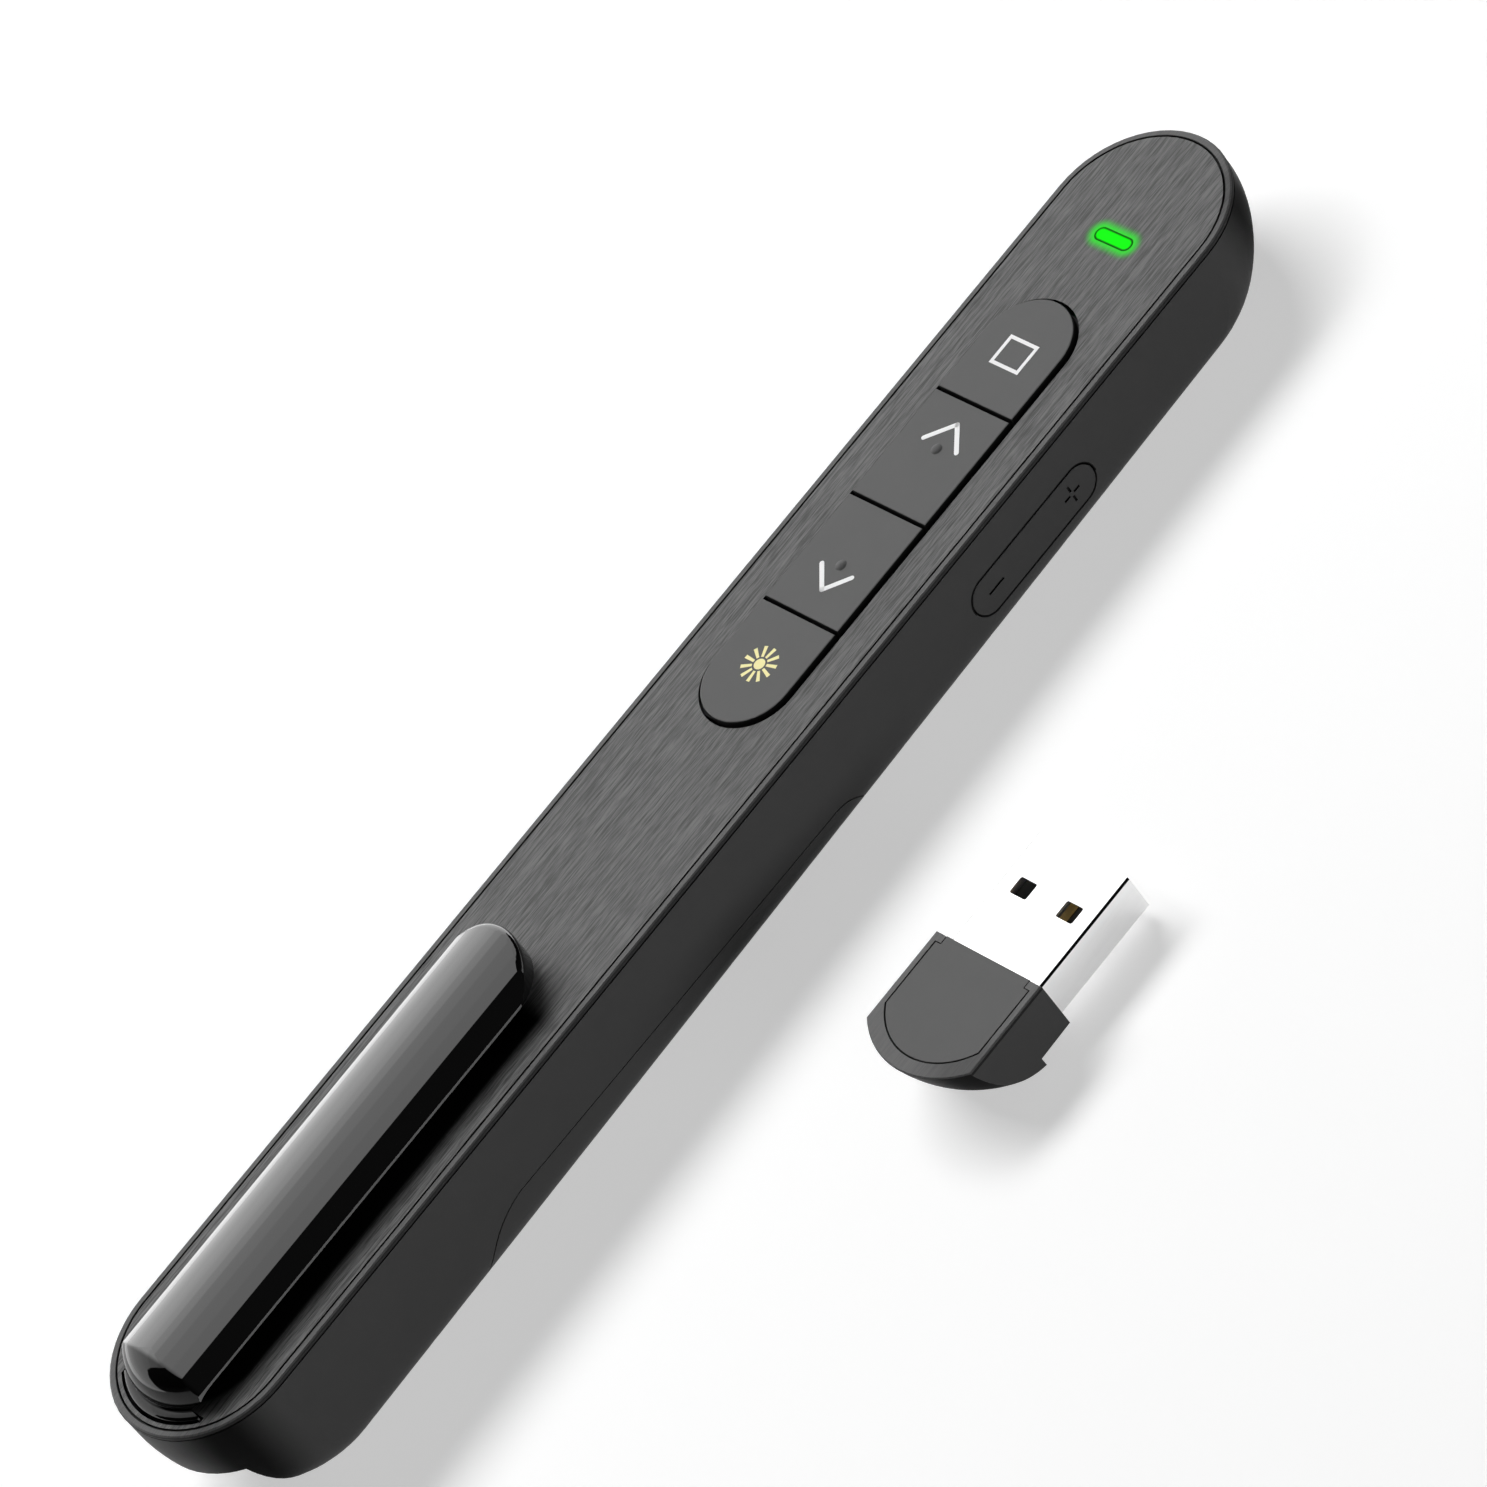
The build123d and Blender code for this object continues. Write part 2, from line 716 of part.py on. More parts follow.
with BuildPart() as volume_rocker:
    with BuildSketch(rocker_wall):
        SlotOverall(rocker_length, rocker_height)
    extrude(amount=-rocker_thickness)
    fillet(volume_rocker.edges().group_by(Axis.X)[-1], radius=key_edge_fillet)
    with BuildSketch(rocker_wall):
        with Locations((-rocker_post_along, 0), (rocker_post_along, 0)):
            Rectangle(rocker_mark_length, rocker_mark_stroke)
        with Locations((rocker_post_along, 0)):
            Rectangle(rocker_mark_stroke, rocker_mark_length)
            Rectangle(rocker_mark_break, rocker_mark_break, mode=Mode.SUBTRACT)
    extrude(amount=-rocker_mark_depth, mode=Mode.SUBTRACT)
    with BuildSketch(rocker_wall.offset(-rocker_thickness)):
        with Locations((-rocker_post_along, 0), (rocker_post_along, 0)):
            Circle(side_plunger_radius)
    extrude(amount=-(rocker_inner - side_plunger_tip - rocker_post_gap))
    with BuildSketch(rocker_wall.offset(-rocker_thickness)):
        Rectangle(rocker_lug_width, rocker_lug_height)
    extrude(amount=-(rocker_inner - rocker_pin_across + ear_reach))
    with BuildSketch(deck.offset(-window_top_depth)):
        with Locations((rocker_pin_across, rocker_along)):
            Circle(rocker_pin_radius + pin_clearance)
    extrude(amount=-(window_bottom_depth - window_top_depth), mode=Mode.SUBTRACT)
volume_rocker.part.label = "volume_rocker"
export_step(volume_rocker.part, "parts/volume_rocker.step")

with BuildPart() as rocker_pin:
    with BuildSketch(deck.offset(-(window_top_depth - ear_thickness))):
        with Locations((rocker_pin_across, rocker_along)):
            Circle(rocker_pin_radius)
    extrude(amount=-(window_bottom_depth - window_top_depth + 2 * ear_thickness))
rocker_pin.part.label = "rocker_pin"
export_step(rocker_pin.part, "parts/rocker_pin.step")

side_board = rocker_wall.offset(side_board_face - half_width)

with BuildPart() as side_switch_board:
    side_board_top = rocker_depth - board_depth - board_thickness
    side_board_bottom = side_switch_height / 2 + side_board_foot
    with BuildSketch(side_board):
        with Locations((0, (side_board_top - side_board_bottom) / 2)):
            Rectangle(
                2 * rocker_post_along + side_switch_length + 2 * side_board_margin,
                side_board_top + side_board_bottom,
            )
    extrude(amount=-side_board_thickness)
side_switch_board.part.label = "side_switch_board"
export_step(side_switch_board.part, "parts/side_switch_board.step")

with BuildPart() as side_switches:
    with BuildSketch(side_board):
        with Locations((-rocker_post_along, 0), (rocker_post_along, 0)):
            Rectangle(side_switch_length, side_switch_height)
    extrude(amount=switch_height)
    with BuildSketch(side_board.offset(switch_height)):
        with Locations((-rocker_post_along, 0), (rocker_post_along, 0)):
            Circle(side_plunger_radius + plunger_clearance)
    extrude(amount=-(plunger_sink + key_travel + plunger_clearance), mode=Mode.SUBTRACT)
side_switches.part.label = "side_switches"
export_step(side_switches.part, "parts/side_switches.step")

for plunger_name, side_sign in (("plunger_volume_down", -1), ("plunger_volume_up", 1)):
    with BuildPart() as plunger:
        with BuildSketch(side_board.offset(switch_height + plunger_rise)):
            with Locations((side_sign * rocker_post_along, 0)):
                Circle(side_plunger_radius)
        extrude(amount=-(plunger_rise + plunger_sink))
    plunger.part.label = plunger_name
    export_step(plunger.part, "parts/" + plunger_name + ".step")

# ---------------------------------------------------------------- laser pointer

with BuildPart() as laser_barrel:
    with BuildSketch(cross_plane(laser_start)):
        with Locations((0, -laser_depth)):
            Circle(laser_radius)
            Circle(laser_bore_radius, mode=Mode.SUBTRACT)
    extrude(amount=-laser_length)
laser_barrel.part.label = "laser_barrel"
export_step(laser_barrel.part, "parts/laser_barrel.step")

with BuildPart() as laser_diode:
    with BuildSketch(cross_plane(laser_start)):
        with Locations((0, -laser_depth)):
            Circle(laser_bore_radius - lens_clearance)
    extrude(amount=-diode_length)
laser_diode.part.label = "laser_diode"
export_step(laser_diode.part, "parts/laser_diode.step")

with BuildPart() as laser_lens:
    with BuildSketch(cross_plane(laser_front)):
        with Locations((0, -laser_depth)):
            Circle(laser_bore_radius - lens_clearance)
    extrude(amount=lens_thickness)
    fillet(laser_lens.edges().group_by(Axis.Y)[-1], radius=lens_thickness / 3)
laser_lens.part.label = "laser_lens"
export_step(laser_lens.part, "parts/laser_lens.step")

with BuildPart() as laser_bezel:
    with BuildSketch(cross_plane(laser_front)):
        with Locations((0, -laser_depth)):
            Circle(bezel_radius)
            Circle(bezel_bore_radius, mode=Mode.SUBTRACT)
    extrude(amount=-half_width)
    add(outer_form, mode=Mode.INTERSECT)
laser_bezel.part.label = "laser_bezel"
export_step(laser_bezel.part, "parts/laser_bezel.step")

# ---------------------------------------------------------------- pocket clip


def heel_form():
    """Bullnose and bead of the clip's tail, turned about the centre of the pen's round end."""
    heel_middle = deck_point(0, tail_centre, 0)
    bullnose_foot = clip_collar_width - clip_foot_radius
    bend_start = bullnose_foot + clip_heel_bend
    bend_height = clip_top - clip_collar_height
    with BuildPart() as form:
        with BuildSketch(Plane(origin=heel_middle, x_dir=along_axis, z_dir=across_axis)):
            with BuildLine():
                Polyline(
                    (bend_start, clip_top),
                    (0, clip_top),
                    (0, -clip_foot_sink),
                    (-clip_foot_radius, -clip_foot_sink),
                    (-clip_foot_radius, 0),
                )
                EllipticalCenterArc(
                    (bullnose_foot, 0), clip_collar_width, clip_collar_height, start_angle=90, arc_size=90
                )
                EllipticalCenterArc(
                    (bend_start, clip_collar_height), clip_heel_bend, bend_height, start_angle=90, arc_size=90
                )
            make_face()
        revolve(axis=Axis(heel_middle, up_axis))
        with BuildSketch(deck.offset(-clip_foot_sink)):
            with Locations((0, (tail_centre + clip_tip) / 2)):
                Rectangle(2 * clip_foot_radius, clip_tip - tail_centre)
        extrude(amount=clip_foot_sink + clip_top)
    return form.part


def clip_stem():
    """Stem under the clip's foot, with the knuckle for its pin and the lever for its spring."""
    root_front = clip_root_front - clip_pivot
    lever_end = clip_pivot_radius + clip_lever_length
    with BuildPart() as stem:
        with BuildSketch(clip_axis_plane):
            Circle(clip_pivot_radius)
            with Locations(((root_front - clip_pivot_radius) / 2, clip_pivot_depth / 2)):
                Rectangle(root_front + clip_pivot_radius, clip_pivot_depth)
            with Locations((lever_end / 2, -clip_lever_drop - clip_lever_thickness / 2)):
                Rectangle(lever_end, clip_lever_thickness)
        extrude(amount=clip_stem_width / 2, both=True)
        with BuildSketch(deck):
            with Locations((0, tail_centre)):
                Circle(clip_foot_radius)
        extrude(amount=-2 * clip_pivot_depth, mode=Mode.INTERSECT)
    return stem.part


with BuildPart() as clip:
    # bar with a crowned top between flat flanks, round at the tip
    bar_length = 2 * (clip_tip - clip_heel)
    crown_half = clip_crown_width / 2
    with BuildSketch(cross_plane(clip_tip)):
        with BuildLine():
            ThreePointArc((-crown_half, clip_crown_edge), (0, clip_top), (crown_half, clip_crown_edge))
            Polyline(
                (crown_half, clip_crown_edge),
                (clip_width / 2, clip_shoulder),
                (clip_width / 2, clip_gap),
                (-clip_width / 2, clip_gap),
                (-clip_width / 2, clip_shoulder),
                (-crown_half, clip_crown_edge),
            )
        make_face()
    extrude(amount=bar_length)
    with BuildSketch(deck):
        with Locations((0, clip_tip - bar_length / 2)):
            SlotOverall(bar_length, clip_width, rotation=90)
    extrude(amount=2 * clip_top, mode=Mode.INTERSECT)
    crown = clip.faces().sort_by(deck_axis)[-1]
    fillet(crown.edges().sort_by(Axis.Y)[-1], radius=clip_tip_fillet)
    # foot, with a round throat under the bar
    with BuildSketch(side):
        with BuildLine():
            Polyline(
                (clip_root_front + clip_throat_length, clip_gap),
                (clip_heel - clip_root_length, clip_gap),
                (clip_heel - clip_root_length, -clip_foot_sink),
                (clip_root_front, -clip_foot_sink),
                (clip_root_front, 0),
            )
            EllipticalCenterArc(
                (clip_root_front + clip_throat_length, 0),
                clip_throat_length,
                clip_gap,
                start_angle=90,
                arc_size=90,
            )
        make_face()
    extrude(amount=clip_width / 2, both=True)
    add(heel_form(), mode=Mode.INTERSECT)
    add(clip_stem())
    with BuildSketch(clip_axis_plane):
        Circle(clip_pin_radius + pin_clearance)
    extrude(amount=clip_width, both=True, mode=Mode.SUBTRACT)
clip.part.label = "clip"
export_step(clip.part, "parts/clip.step")

with BuildPart() as clip_grip_pad:
    with BuildSketch(deck.offset(clip_pad_gap)):
        with Locations((0, clip_tip - clip_pad_inset - clip_pad_length / 2)):
            SlotOverall(clip_pad_length + clip_pad_width / 2, clip_pad_width / 2, rotation=90)
    extrude(amount=clip_gap - clip_pad_gap)
    fillet(clip_grip_pad.edges().group_by(deck_axis)[0], radius=clip_pad_width / 8)
clip_grip_pad.part.label = "clip_grip_pad"
export_step(clip_grip_pad.part, "parts/clip_grip_pad.step")

with BuildPart() as clip_pin:
    with BuildSketch(clip_axis_plane):
        Circle(clip_pin_radius)
    extrude(amount=clip_stem_width / 2 + clip_stem_clearance + clip_pin_overhang, both=True)
clip_pin.part.label = "clip_pin"
export_step(clip_pin.part, "parts/clip_pin.step")

with BuildPart() as clip_spring:
    # leaf folded between the lever and the underside of the plate
    leaf_foot = -clip_lever_drop
    leaf_head = clip_pivot_depth - plate_thickness
    leaf_back = clip_pivot_radius + clip_spring_thickness
    leaf_front = clip_pivot_radius + clip_lever_length - clip_spring_thickness
    with BuildSketch(clip_axis_plane):
        Polygon(
            (leaf_back, leaf_foot),
            (leaf_front, leaf_foot),
            (leaf_front, leaf_foot + clip_spring_thickness),
            (leaf_back + 4 * clip_spring_thickness, leaf_foot + clip_spring_thickness),
            (leaf_front, leaf_head - clip_spring_thickness),
            (leaf_front, leaf_head),
            (leaf_back, leaf_head),
            (leaf_back, leaf_head - clip_spring_thickness),
            (leaf_front - 4 * clip_spring_thickness, leaf_head - clip_spring_thickness),
            (leaf_back, leaf_foot + clip_spring_thickness),
            align=None,
        )
    extrude(amount=clip_spring_width / 2, both=True)
clip_spring.part.label = "clip_spring"
export_step(clip_spring.part, "parts/clip_spring.step")

# ---------------------------------------------------------------- cell and its contacts


def cell_plane(along):
    """Plane square to the cell at a place along it: local X across, local Y up."""
    return Plane(origin=(0, along, cell_axis_height), x_dir=(1, 0, 0), z_dir=(0, -1, 0))


with BuildPart() as battery_cell:
    with BuildSketch(cell_plane(cell_tail)):
        Circle(cell_radius)
    extrude(amount=-cell_length)
    fillet(battery_cell.edges(), radius=0.4)
battery_cell.part.label = "battery_cell"
export_step(battery_cell.part, "parts/battery_cell.step")

with BuildPart() as cell_nub:
    with BuildSketch(cell_plane(cell_tail)):
        Circle(cell_nub_radius)
    extrude(amount=cell_nub_length)
cell_nub.part.label = "cell_nub"
export_step(cell_nub.part, "parts/cell_nub.step")

with BuildPart() as contact_plus:
    with BuildSketch(cell_plane(bay_tail + contact_thickness)):
        Rectangle(contact_width, contact_height)
    extrude(amount=contact_thickness)
contact_plus.part.label = "contact_plus"
export_step(contact_plus.part, "parts/contact_plus.step")

with BuildPart() as contact_minus:
    with BuildSketch(cell_plane(bay_nose)):
        Rectangle(contact_width, contact_height)
    extrude(amount=contact_thickness)
contact_minus.part.label = "contact_minus"
export_step(contact_minus.part, "parts/contact_minus.step")

with BuildPart() as contact_spring:
    coil_start = bay_nose - contact_thickness - coil_wire
    coil_height = coil_length - 2 * coil_wire
    with BuildLine() as coil_path:
        Helix(
            pitch=coil_height / coil_turns,
            height=coil_height,
            radius=coil_radius,
            center=(0, coil_start, cell_axis_height),
            direction=(0, -1, 0),
        )
    with BuildSketch(coil_path.line ^ 0):
        RegularPolygon(coil_wire, coil_wire_sides)
    sweep(is_frenet=True)
contact_spring.part.label = "contact_spring"
export_step(contact_spring.part, "parts/contact_spring.step")

# ---------------------------------------------------------------- plug-in receiver, beside the pen

receiver_origin = deck_point(0, dock_front, dock_depth) + receiver_shift
receiver_top = Plane(origin=receiver_origin, x_dir=across_axis, z_dir=up_axis)
receiver_front = Plane(origin=receiver_origin, x_dir=across_axis, z_dir=-along_axis)
hollow_middle = -hollow_start - hollow_length / 2
hollow_floor_depth = cap_thickness + hollow_depth


def cap_outline(gap):
    """U-shaped outline of the receiver's cap, notched at its two front corners."""
    cap_side = receiver_width / 2 - cap_inset - gap
    cap_tail = receiver_length - cap_tail_inset - gap
    notch_width = cap_notch_inset
    notch_length = cap_notch_length + gap
    with BuildSketch() as outline:
        with BuildLine():
            Polyline(
                (-cap_side, cap_arc_sagitta - cap_tail),
                (-cap_side, 0),
                (cap_side, 0),
                (cap_side, cap_arc_sagitta - cap_tail),
            )
            ThreePointArc(
                (cap_side, cap_arc_sagitta - cap_tail),
                (0, -cap_tail),
                (-cap_side, cap_arc_sagitta - cap_tail),
            )
        make_face()
        with Locations(
            (cap_side - notch_width / 2, -notch_length / 2),
            (notch_width / 2 - cap_side, -notch_length / 2),
        ):
            Rectangle(notch_width, notch_length, mode=Mode.SUBTRACT)
    return outline.sketch


with BuildPart() as receiver_body:
    with Locations(receiver_shift):
        add(outer_form)
        add(receiver_zone(0), mode=Mode.INTERSECT)
    top_edges = receiver_body.faces().sort_by(deck_axis)[-1].edges()
    chamfer(top_edges, length=receiver_edge_bevel)
    with BuildSketch(receiver_top):
        add(cap_outline(0))
    extrude(amount=-cap_thickness, mode=Mode.SUBTRACT)
    with BuildSketch(receiver_top.offset(-cap_thickness)):
        with Locations((0, hollow_middle)):
            Rectangle(hollow_width, hollow_length)
    extrude(amount=-hollow_depth, mode=Mode.SUBTRACT)
    with BuildSketch(receiver_front):
        with Locations((0, -plug_drop - plug_height / 2)):
            Rectangle(plug_width, plug_height)
    extrude(amount=plug_root, mode=Mode.SUBTRACT)
receiver_body.part.label = "receiver_body"
export_step(receiver_body.part, "parts/receiver_body.step")

with BuildPart() as receiver_cap:
    with BuildSketch(receiver_top):
        add(cap_outline(cap_seam))
    extrude(amount=-cap_thickness)
receiver_cap.part.label = "receiver_cap"
export_step(receiver_cap.part, "parts/receiver_cap.step")

with BuildPart() as usb_shell:
    with BuildSketch(receiver_front.offset(plug_root)):
        with Locations((0, -plug_drop - plug_height / 2)):
            RectangleRounded(plug_width, plug_height, plug_wall)
            Rectangle(plug_width - 2 * plug_wall, plug_height - 2 * plug_wall, mode=Mode.SUBTRACT)
    extrude(amount=-(plug_root + plug_length))
    with BuildSketch(receiver_top):
        with Locations((-window_across, window_along), (window_across, window_along)):
            RectangleRounded(window_width, window_length, window_corner)
    extrude(amount=-2 * receiver_height, mode=Mode.SUBTRACT)
usb_shell.part.label = "usb_shell"
export_step(usb_shell.part, "parts/usb_shell.step")

tongue_front = plug_length - tongue_setback
tongue_top_depth = plug_drop + plug_height - plug_wall - tongue_thickness

with BuildPart() as usb_tongue:
    with BuildSketch(receiver_top.offset(-tongue_top_depth)):
        with Locations((0, (tongue_front - plug_root) / 2)):
            Rectangle(tongue_width, tongue_front + plug_root)
    extrude(amount=-tongue_thickness)
usb_tongue.part.label = "usb_tongue"
export_step(usb_tongue.part, "parts/usb_tongue.step")

with BuildPart() as usb_contacts:
    with BuildSketch(receiver_top.offset(-tongue_top_depth)):
        with Locations(
            *[
                (contact_across, tongue_front - tongue_setback - contact_pad_length / 2)
                for contact_across in (
                    -contact_pad_outer,
                    -contact_pad_inner,
                    contact_pad_inner,
                    contact_pad_outer,
                )
            ]
        ):
            Rectangle(contact_pad_width, contact_pad_length)
    extrude(amount=contact_pad_thickness)
usb_contacts.part.label = "usb_contacts"
export_step(usb_contacts.part, "parts/usb_contacts.step")

with BuildPart() as receiver_board:
    with BuildSketch(receiver_top.offset(-hollow_floor_depth)):
        with Locations((0, -plug_root - receiver_board_length / 2)):
            Rectangle(receiver_board_width, receiver_board_length)
    extrude(amount=receiver_board_thickness)
receiver_board.part.label = "receiver_board"
export_step(receiver_board.part, "parts/receiver_board.step")

with BuildPart() as receiver_chip:
    with BuildSketch(receiver_top.offset(receiver_board_thickness - hollow_floor_depth)):
        with Locations((0, -plug_root - receiver_board_length / 2)):
            Rectangle(receiver_chip_size, receiver_chip_size)
    extrude(amount=receiver_chip_height)
receiver_chip.part.label = "receiver_chip"
export_step(receiver_chip.part, "parts/receiver_chip.step")
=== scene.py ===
import json
from math import atan2, cos, pi, sin

import bmesh
import bpy
from mathutils import Matrix, Vector


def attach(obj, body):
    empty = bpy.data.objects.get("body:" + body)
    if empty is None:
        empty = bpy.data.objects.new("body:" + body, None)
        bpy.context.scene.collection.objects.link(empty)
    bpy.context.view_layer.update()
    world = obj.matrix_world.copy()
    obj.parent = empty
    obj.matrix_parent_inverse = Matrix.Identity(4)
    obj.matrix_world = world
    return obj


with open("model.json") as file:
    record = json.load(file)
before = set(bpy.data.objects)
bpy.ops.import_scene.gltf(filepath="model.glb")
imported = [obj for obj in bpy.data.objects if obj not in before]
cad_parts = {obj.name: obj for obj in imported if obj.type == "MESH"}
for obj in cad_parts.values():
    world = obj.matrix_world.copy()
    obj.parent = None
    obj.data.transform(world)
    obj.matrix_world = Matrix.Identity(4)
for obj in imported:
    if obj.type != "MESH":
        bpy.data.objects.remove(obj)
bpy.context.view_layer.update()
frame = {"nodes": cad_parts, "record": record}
nodes = frame["nodes"]

# ---------------------------------------------------------------- the pen's own axes
# A place on the pen is across (towards +X), along (towards the nose) and up from the deck, in mm.

MM = 0.001
TAIL_HEIGHT = 14.5
NOSE_HEIGHT = 10.6
LENGTH = 155.3
HALF_WIDTH = 10.25
END_CENTRE = LENGTH / 2 - HALF_WIDTH     # where the round ends are centred, both ways from the middle
SLOPE = atan2(TAIL_HEIGHT - NOSE_HEIGHT, LENGTH)
MID_HEIGHT = (TAIL_HEIGHT + NOSE_HEIGHT) / 2
ALONG = Vector((0, cos(SLOPE), -sin(SLOPE)))
UP = Vector((0, sin(SLOPE), cos(SLOPE)))
DECK = Vector((0, 0, MID_HEIGHT * cos(SLOPE)))

KEY_TOP = 0.43
PAD_HALF = 5.15              # half the width of the key pad
PAD_ENDS = (11.0, 51.4)      # where its round ends are centred along the pen
LAMP_ALONG = 64.7
ROCKER = (37.2, 6.65, -6.6, 2.19)    # its opening: middle along, half straight length, height, end radius

CLIP_HALF_WIDTH = 5.6
LIP_TOP = 1.88               # top of the clip's narrow upright side
# grey of the painted highlight on that side
LIP_HIGHLIGHT_GREY = 0.30
CLIP_BEND = -72.2            # behind this the clip bends down to its foot

RECEIVER_SHIFT = Vector((39.87, 63.86, 0))
RECEIVER_TOP = -7.01         # top of the receiver in its bay, seen from the deck
RECEIVER_FLANK = 7.05        # its bend is inside this, its flat sides outside
CAP_HALF = 6.35              # half the width of the receiver's cap
CAP_TURN = -72.26            # along the pen, where the cap's sides end and its round end begins
CAP_ARC = (-67.92, 7.69)     # the round end's centre along and its radius
CAP_NOTCH = (5.66, -65.02)   # its front corners stay clear of the receiver's two small blocks


def place(across, along, up):
    return (DECK + Vector((across, 0, 0)) + ALONG * along + UP * up) * MM


def turn(vector):
    return Vector((vector[0], 0, 0)) + ALONG * vector[1] + UP * vector[2]


# ---------------------------------------------------------------- camera

PHOTO_SIDE = 1487
SENSOR = 36
FOCAL = 9781.637             # in pixels of the photo
VIEW_ROWS = (
    (0.63746, 0.62100, -0.45606),
    (0.33333, -0.75594, -0.56342),
    (-0.69465, 0.20714, -0.68888),
)
EYE = (620.4, -178.53, 610.8)

camera_data = bpy.data.cameras.new("camera")
camera = bpy.data.objects.new("camera", camera_data)
bpy.context.scene.collection.objects.link(camera)
right, down, ahead = (turn(row) for row in VIEW_ROWS)
rotation = Matrix((right, -down, -ahead)).transposed()
camera.matrix_world = Matrix.Translation(place(*EYE)) @ rotation.to_4x4()
camera_data.sensor_width = SENSOR
camera_data.lens = FOCAL / PHOTO_SIDE * SENSOR
camera_data.clip_start = 0.05
camera_data.clip_end = 20
bpy.context.scene.camera = camera

# ---------------------------------------------------------------- materials

SHADE_BLACK = 0.004           # painted shade: grey of gaps, of walls inside them, and of the round ends' right bends


def grey(value):
    return (value, value, value, 1)


class Nodes:
    """Short way to write a material's nodes. Masks are 1 where they hold and 0 elsewhere."""

    def __init__(self, name):
        self.material = bpy.data.materials.new(name)
        self.material.use_nodes = True
        self.tree = self.material.node_tree
        self.shader = self.tree.nodes["Principled BSDF"]

    def node(self, kind, inputs=(), **settings):
        made = self.tree.nodes.new("ShaderNode" + kind)
        for key, value in settings.items():
            setattr(made, key, value)
        for key, value in dict(inputs).items():
            self.put(made.inputs[key], value)
        return made

    def put(self, socket, value):
        if isinstance(value, bpy.types.NodeSocket):
            self.tree.links.new(value, socket)
        else:
            socket.default_value = value

    def set(self, **values):
        for key, value in values.items():
            self.put(self.shader.inputs[key.replace("_", " ")], value)

    # numbers

    def math(self, operation, a, b=0.0):
        return self.node("Math", {0: a, 1: b}, operation=operation).outputs[0]

    def times(self, first, *factors):
        for factor in factors:
            first = self.math("MULTIPLY", first, factor)
        return first

    def minus(self, a, b):
        return self.math("SUBTRACT", a, b)

    def absolute(self, value):
        return self.math("ABSOLUTE", value)

    def less(self, value, limit):
        return self.math("LESS_THAN", value, limit)

    def more(self, value, limit):
        return self.math("GREATER_THAN", value, limit)

    def either(self, a, b):
        return self.math("MAXIMUM", a, b)

    def outside(self, mask):
        return self.minus(1.0, mask)

    def beyond(self, value, limit):
        """How far a value's size is past the limit, else 0."""
        return self.math("MAXIMUM", self.minus(self.absolute(value), limit), 0.0)

    def length(self, a, b):
        return self.math("SQRT", self.math("ADD", self.times(a, a), self.times(b, b)))

    def ramp(self, value, start, end, low, high, kind="LINEAR"):
        """Low up to start, high from end on."""
        inputs = {"Value": value, "From Min": start, "From Max": end, "To Min": low, "To Max": high}
        return self.node("MapRange", inputs, interpolation_type=kind).outputs[0]

    def spread(self, value, low, high):
        return self.ramp(value, 0.0, 1.0, low, high)

    def step(self, value, low, high):
        """0 below low, 1 above high, smooth between."""
        return self.ramp(value, low, high, 0.0, 1.0, "SMOOTHSTEP")

    # places

    def vector(self, x, y, z):
        return self.node("CombineXYZ", {"X": x, "Y": y, "Z": z}).outputs[0]

    def scaled(self, factor):
        """Object coordinates times a factor for each axis."""
        where = self.node("TexCoord").outputs["Object"]
        return self.node("VectorMath", {0: where, 1: factor}, operation="MULTIPLY").outputs[0]

    def deck_coordinates(self, shift=(0, 0, 0)):
        """Place on the pen in mm, from the object's own coordinates: across, along, up."""
        where = self.node("TexCoord").outputs["Object"]
        middle = tuple((DECK + Vector(shift)) * MM)
        centred = self.node("VectorMath", {0: where, 1: middle}, operation="SUBTRACT").outputs[0]
        parts = []
        for axis in (Vector((1, 0, 0)), ALONG, UP):
            made = self.node("VectorMath", {0: centred, 1: tuple(axis / MM)}, operation="DOT_PRODUCT")
            parts.append(made.outputs["Value"])
        return parts

    def reach(self, across, along):
        """Distance from the line that the pen's round ends are centred on."""
        return self.length(across, self.beyond(along, END_CENTRE))

    def inside_cap(self, across, along, margin):
        """1 inside the outline of the receiver's cap grown by a margin."""
        centre, radius = CAP_ARC
        round_end = self.less(self.length(across, self.minus(along, centre)), radius + margin)
        end = self.either(self.more(along, CAP_TURN), round_end)
        return self.times(self.less(self.absolute(across), CAP_HALF + margin), end)

    # looks

    def noise(self, vector, scale, detail=3.0, rough=0.55):
        inputs = {"Vector": vector, "Scale": scale, "Detail": detail, "Roughness": rough}
        return self.node("TexNoise", inputs).outputs[0]

    def streaks(self, across, along, fineness, seed, detail, rough):
        """Noise drawn out along the pen; fineness is across and along."""
        where = self.vector(self.times(across, fineness[0]), self.times(along, fineness[1]), seed)
        return self.noise(where, 1.0, detail, rough)

    def mix(self, factor, a, b):
        made = self.node("Mix", data_type="RGBA")
        self.put(made.inputs[0], factor)
        self.put(made.inputs[6], a)
        self.put(made.inputs[7], b)
        return made.outputs[2]

    def paint(self, colour):
        self.colour = colour
        self.set(Base_Color=colour)

    def shade(self, mask, value):
        """Where the mask is 1, the colour becomes this grey."""
        self.paint(self.mix(mask, self.colour, grey(value)))

    def specular(self, level, share=None):
        """Level on the shader's own socket, and a share of it from place to place."""
        socket = self.shader.inputs["Specular IOR Level"]
        socket.default_value = level
        if share is not None:
            self.put(socket, self.times(share, level))

    def bump(self, height, distance, strength=1.0):
        made = self.node("Bump", {"Height": height, "Distance": distance, "Strength": strength})
        self.put(self.shader.inputs["Normal"], made.outputs[0])


def moulded(name, low, high, roughness=0.42, grain=0.0000035, spec=0.5):
    """Moulded plastic: slight mottle, fine spark-eroded grain, uneven sheen."""
    m = Nodes(name)
    mottle = m.noise(m.scaled((260, 260, 260)), 1.0, 4.0, 0.6)
    fine = m.noise(m.scaled((5200, 5200, 5200)), 1.0, 2.0, 0.5)
    m.paint(m.mix(mottle, grey(low), grey(high)))
    m.set(Roughness=m.spread(fine, roughness - 0.05, roughness + 0.08))
    m.specular(spec)
    m.bump(fine, grain)
    return m


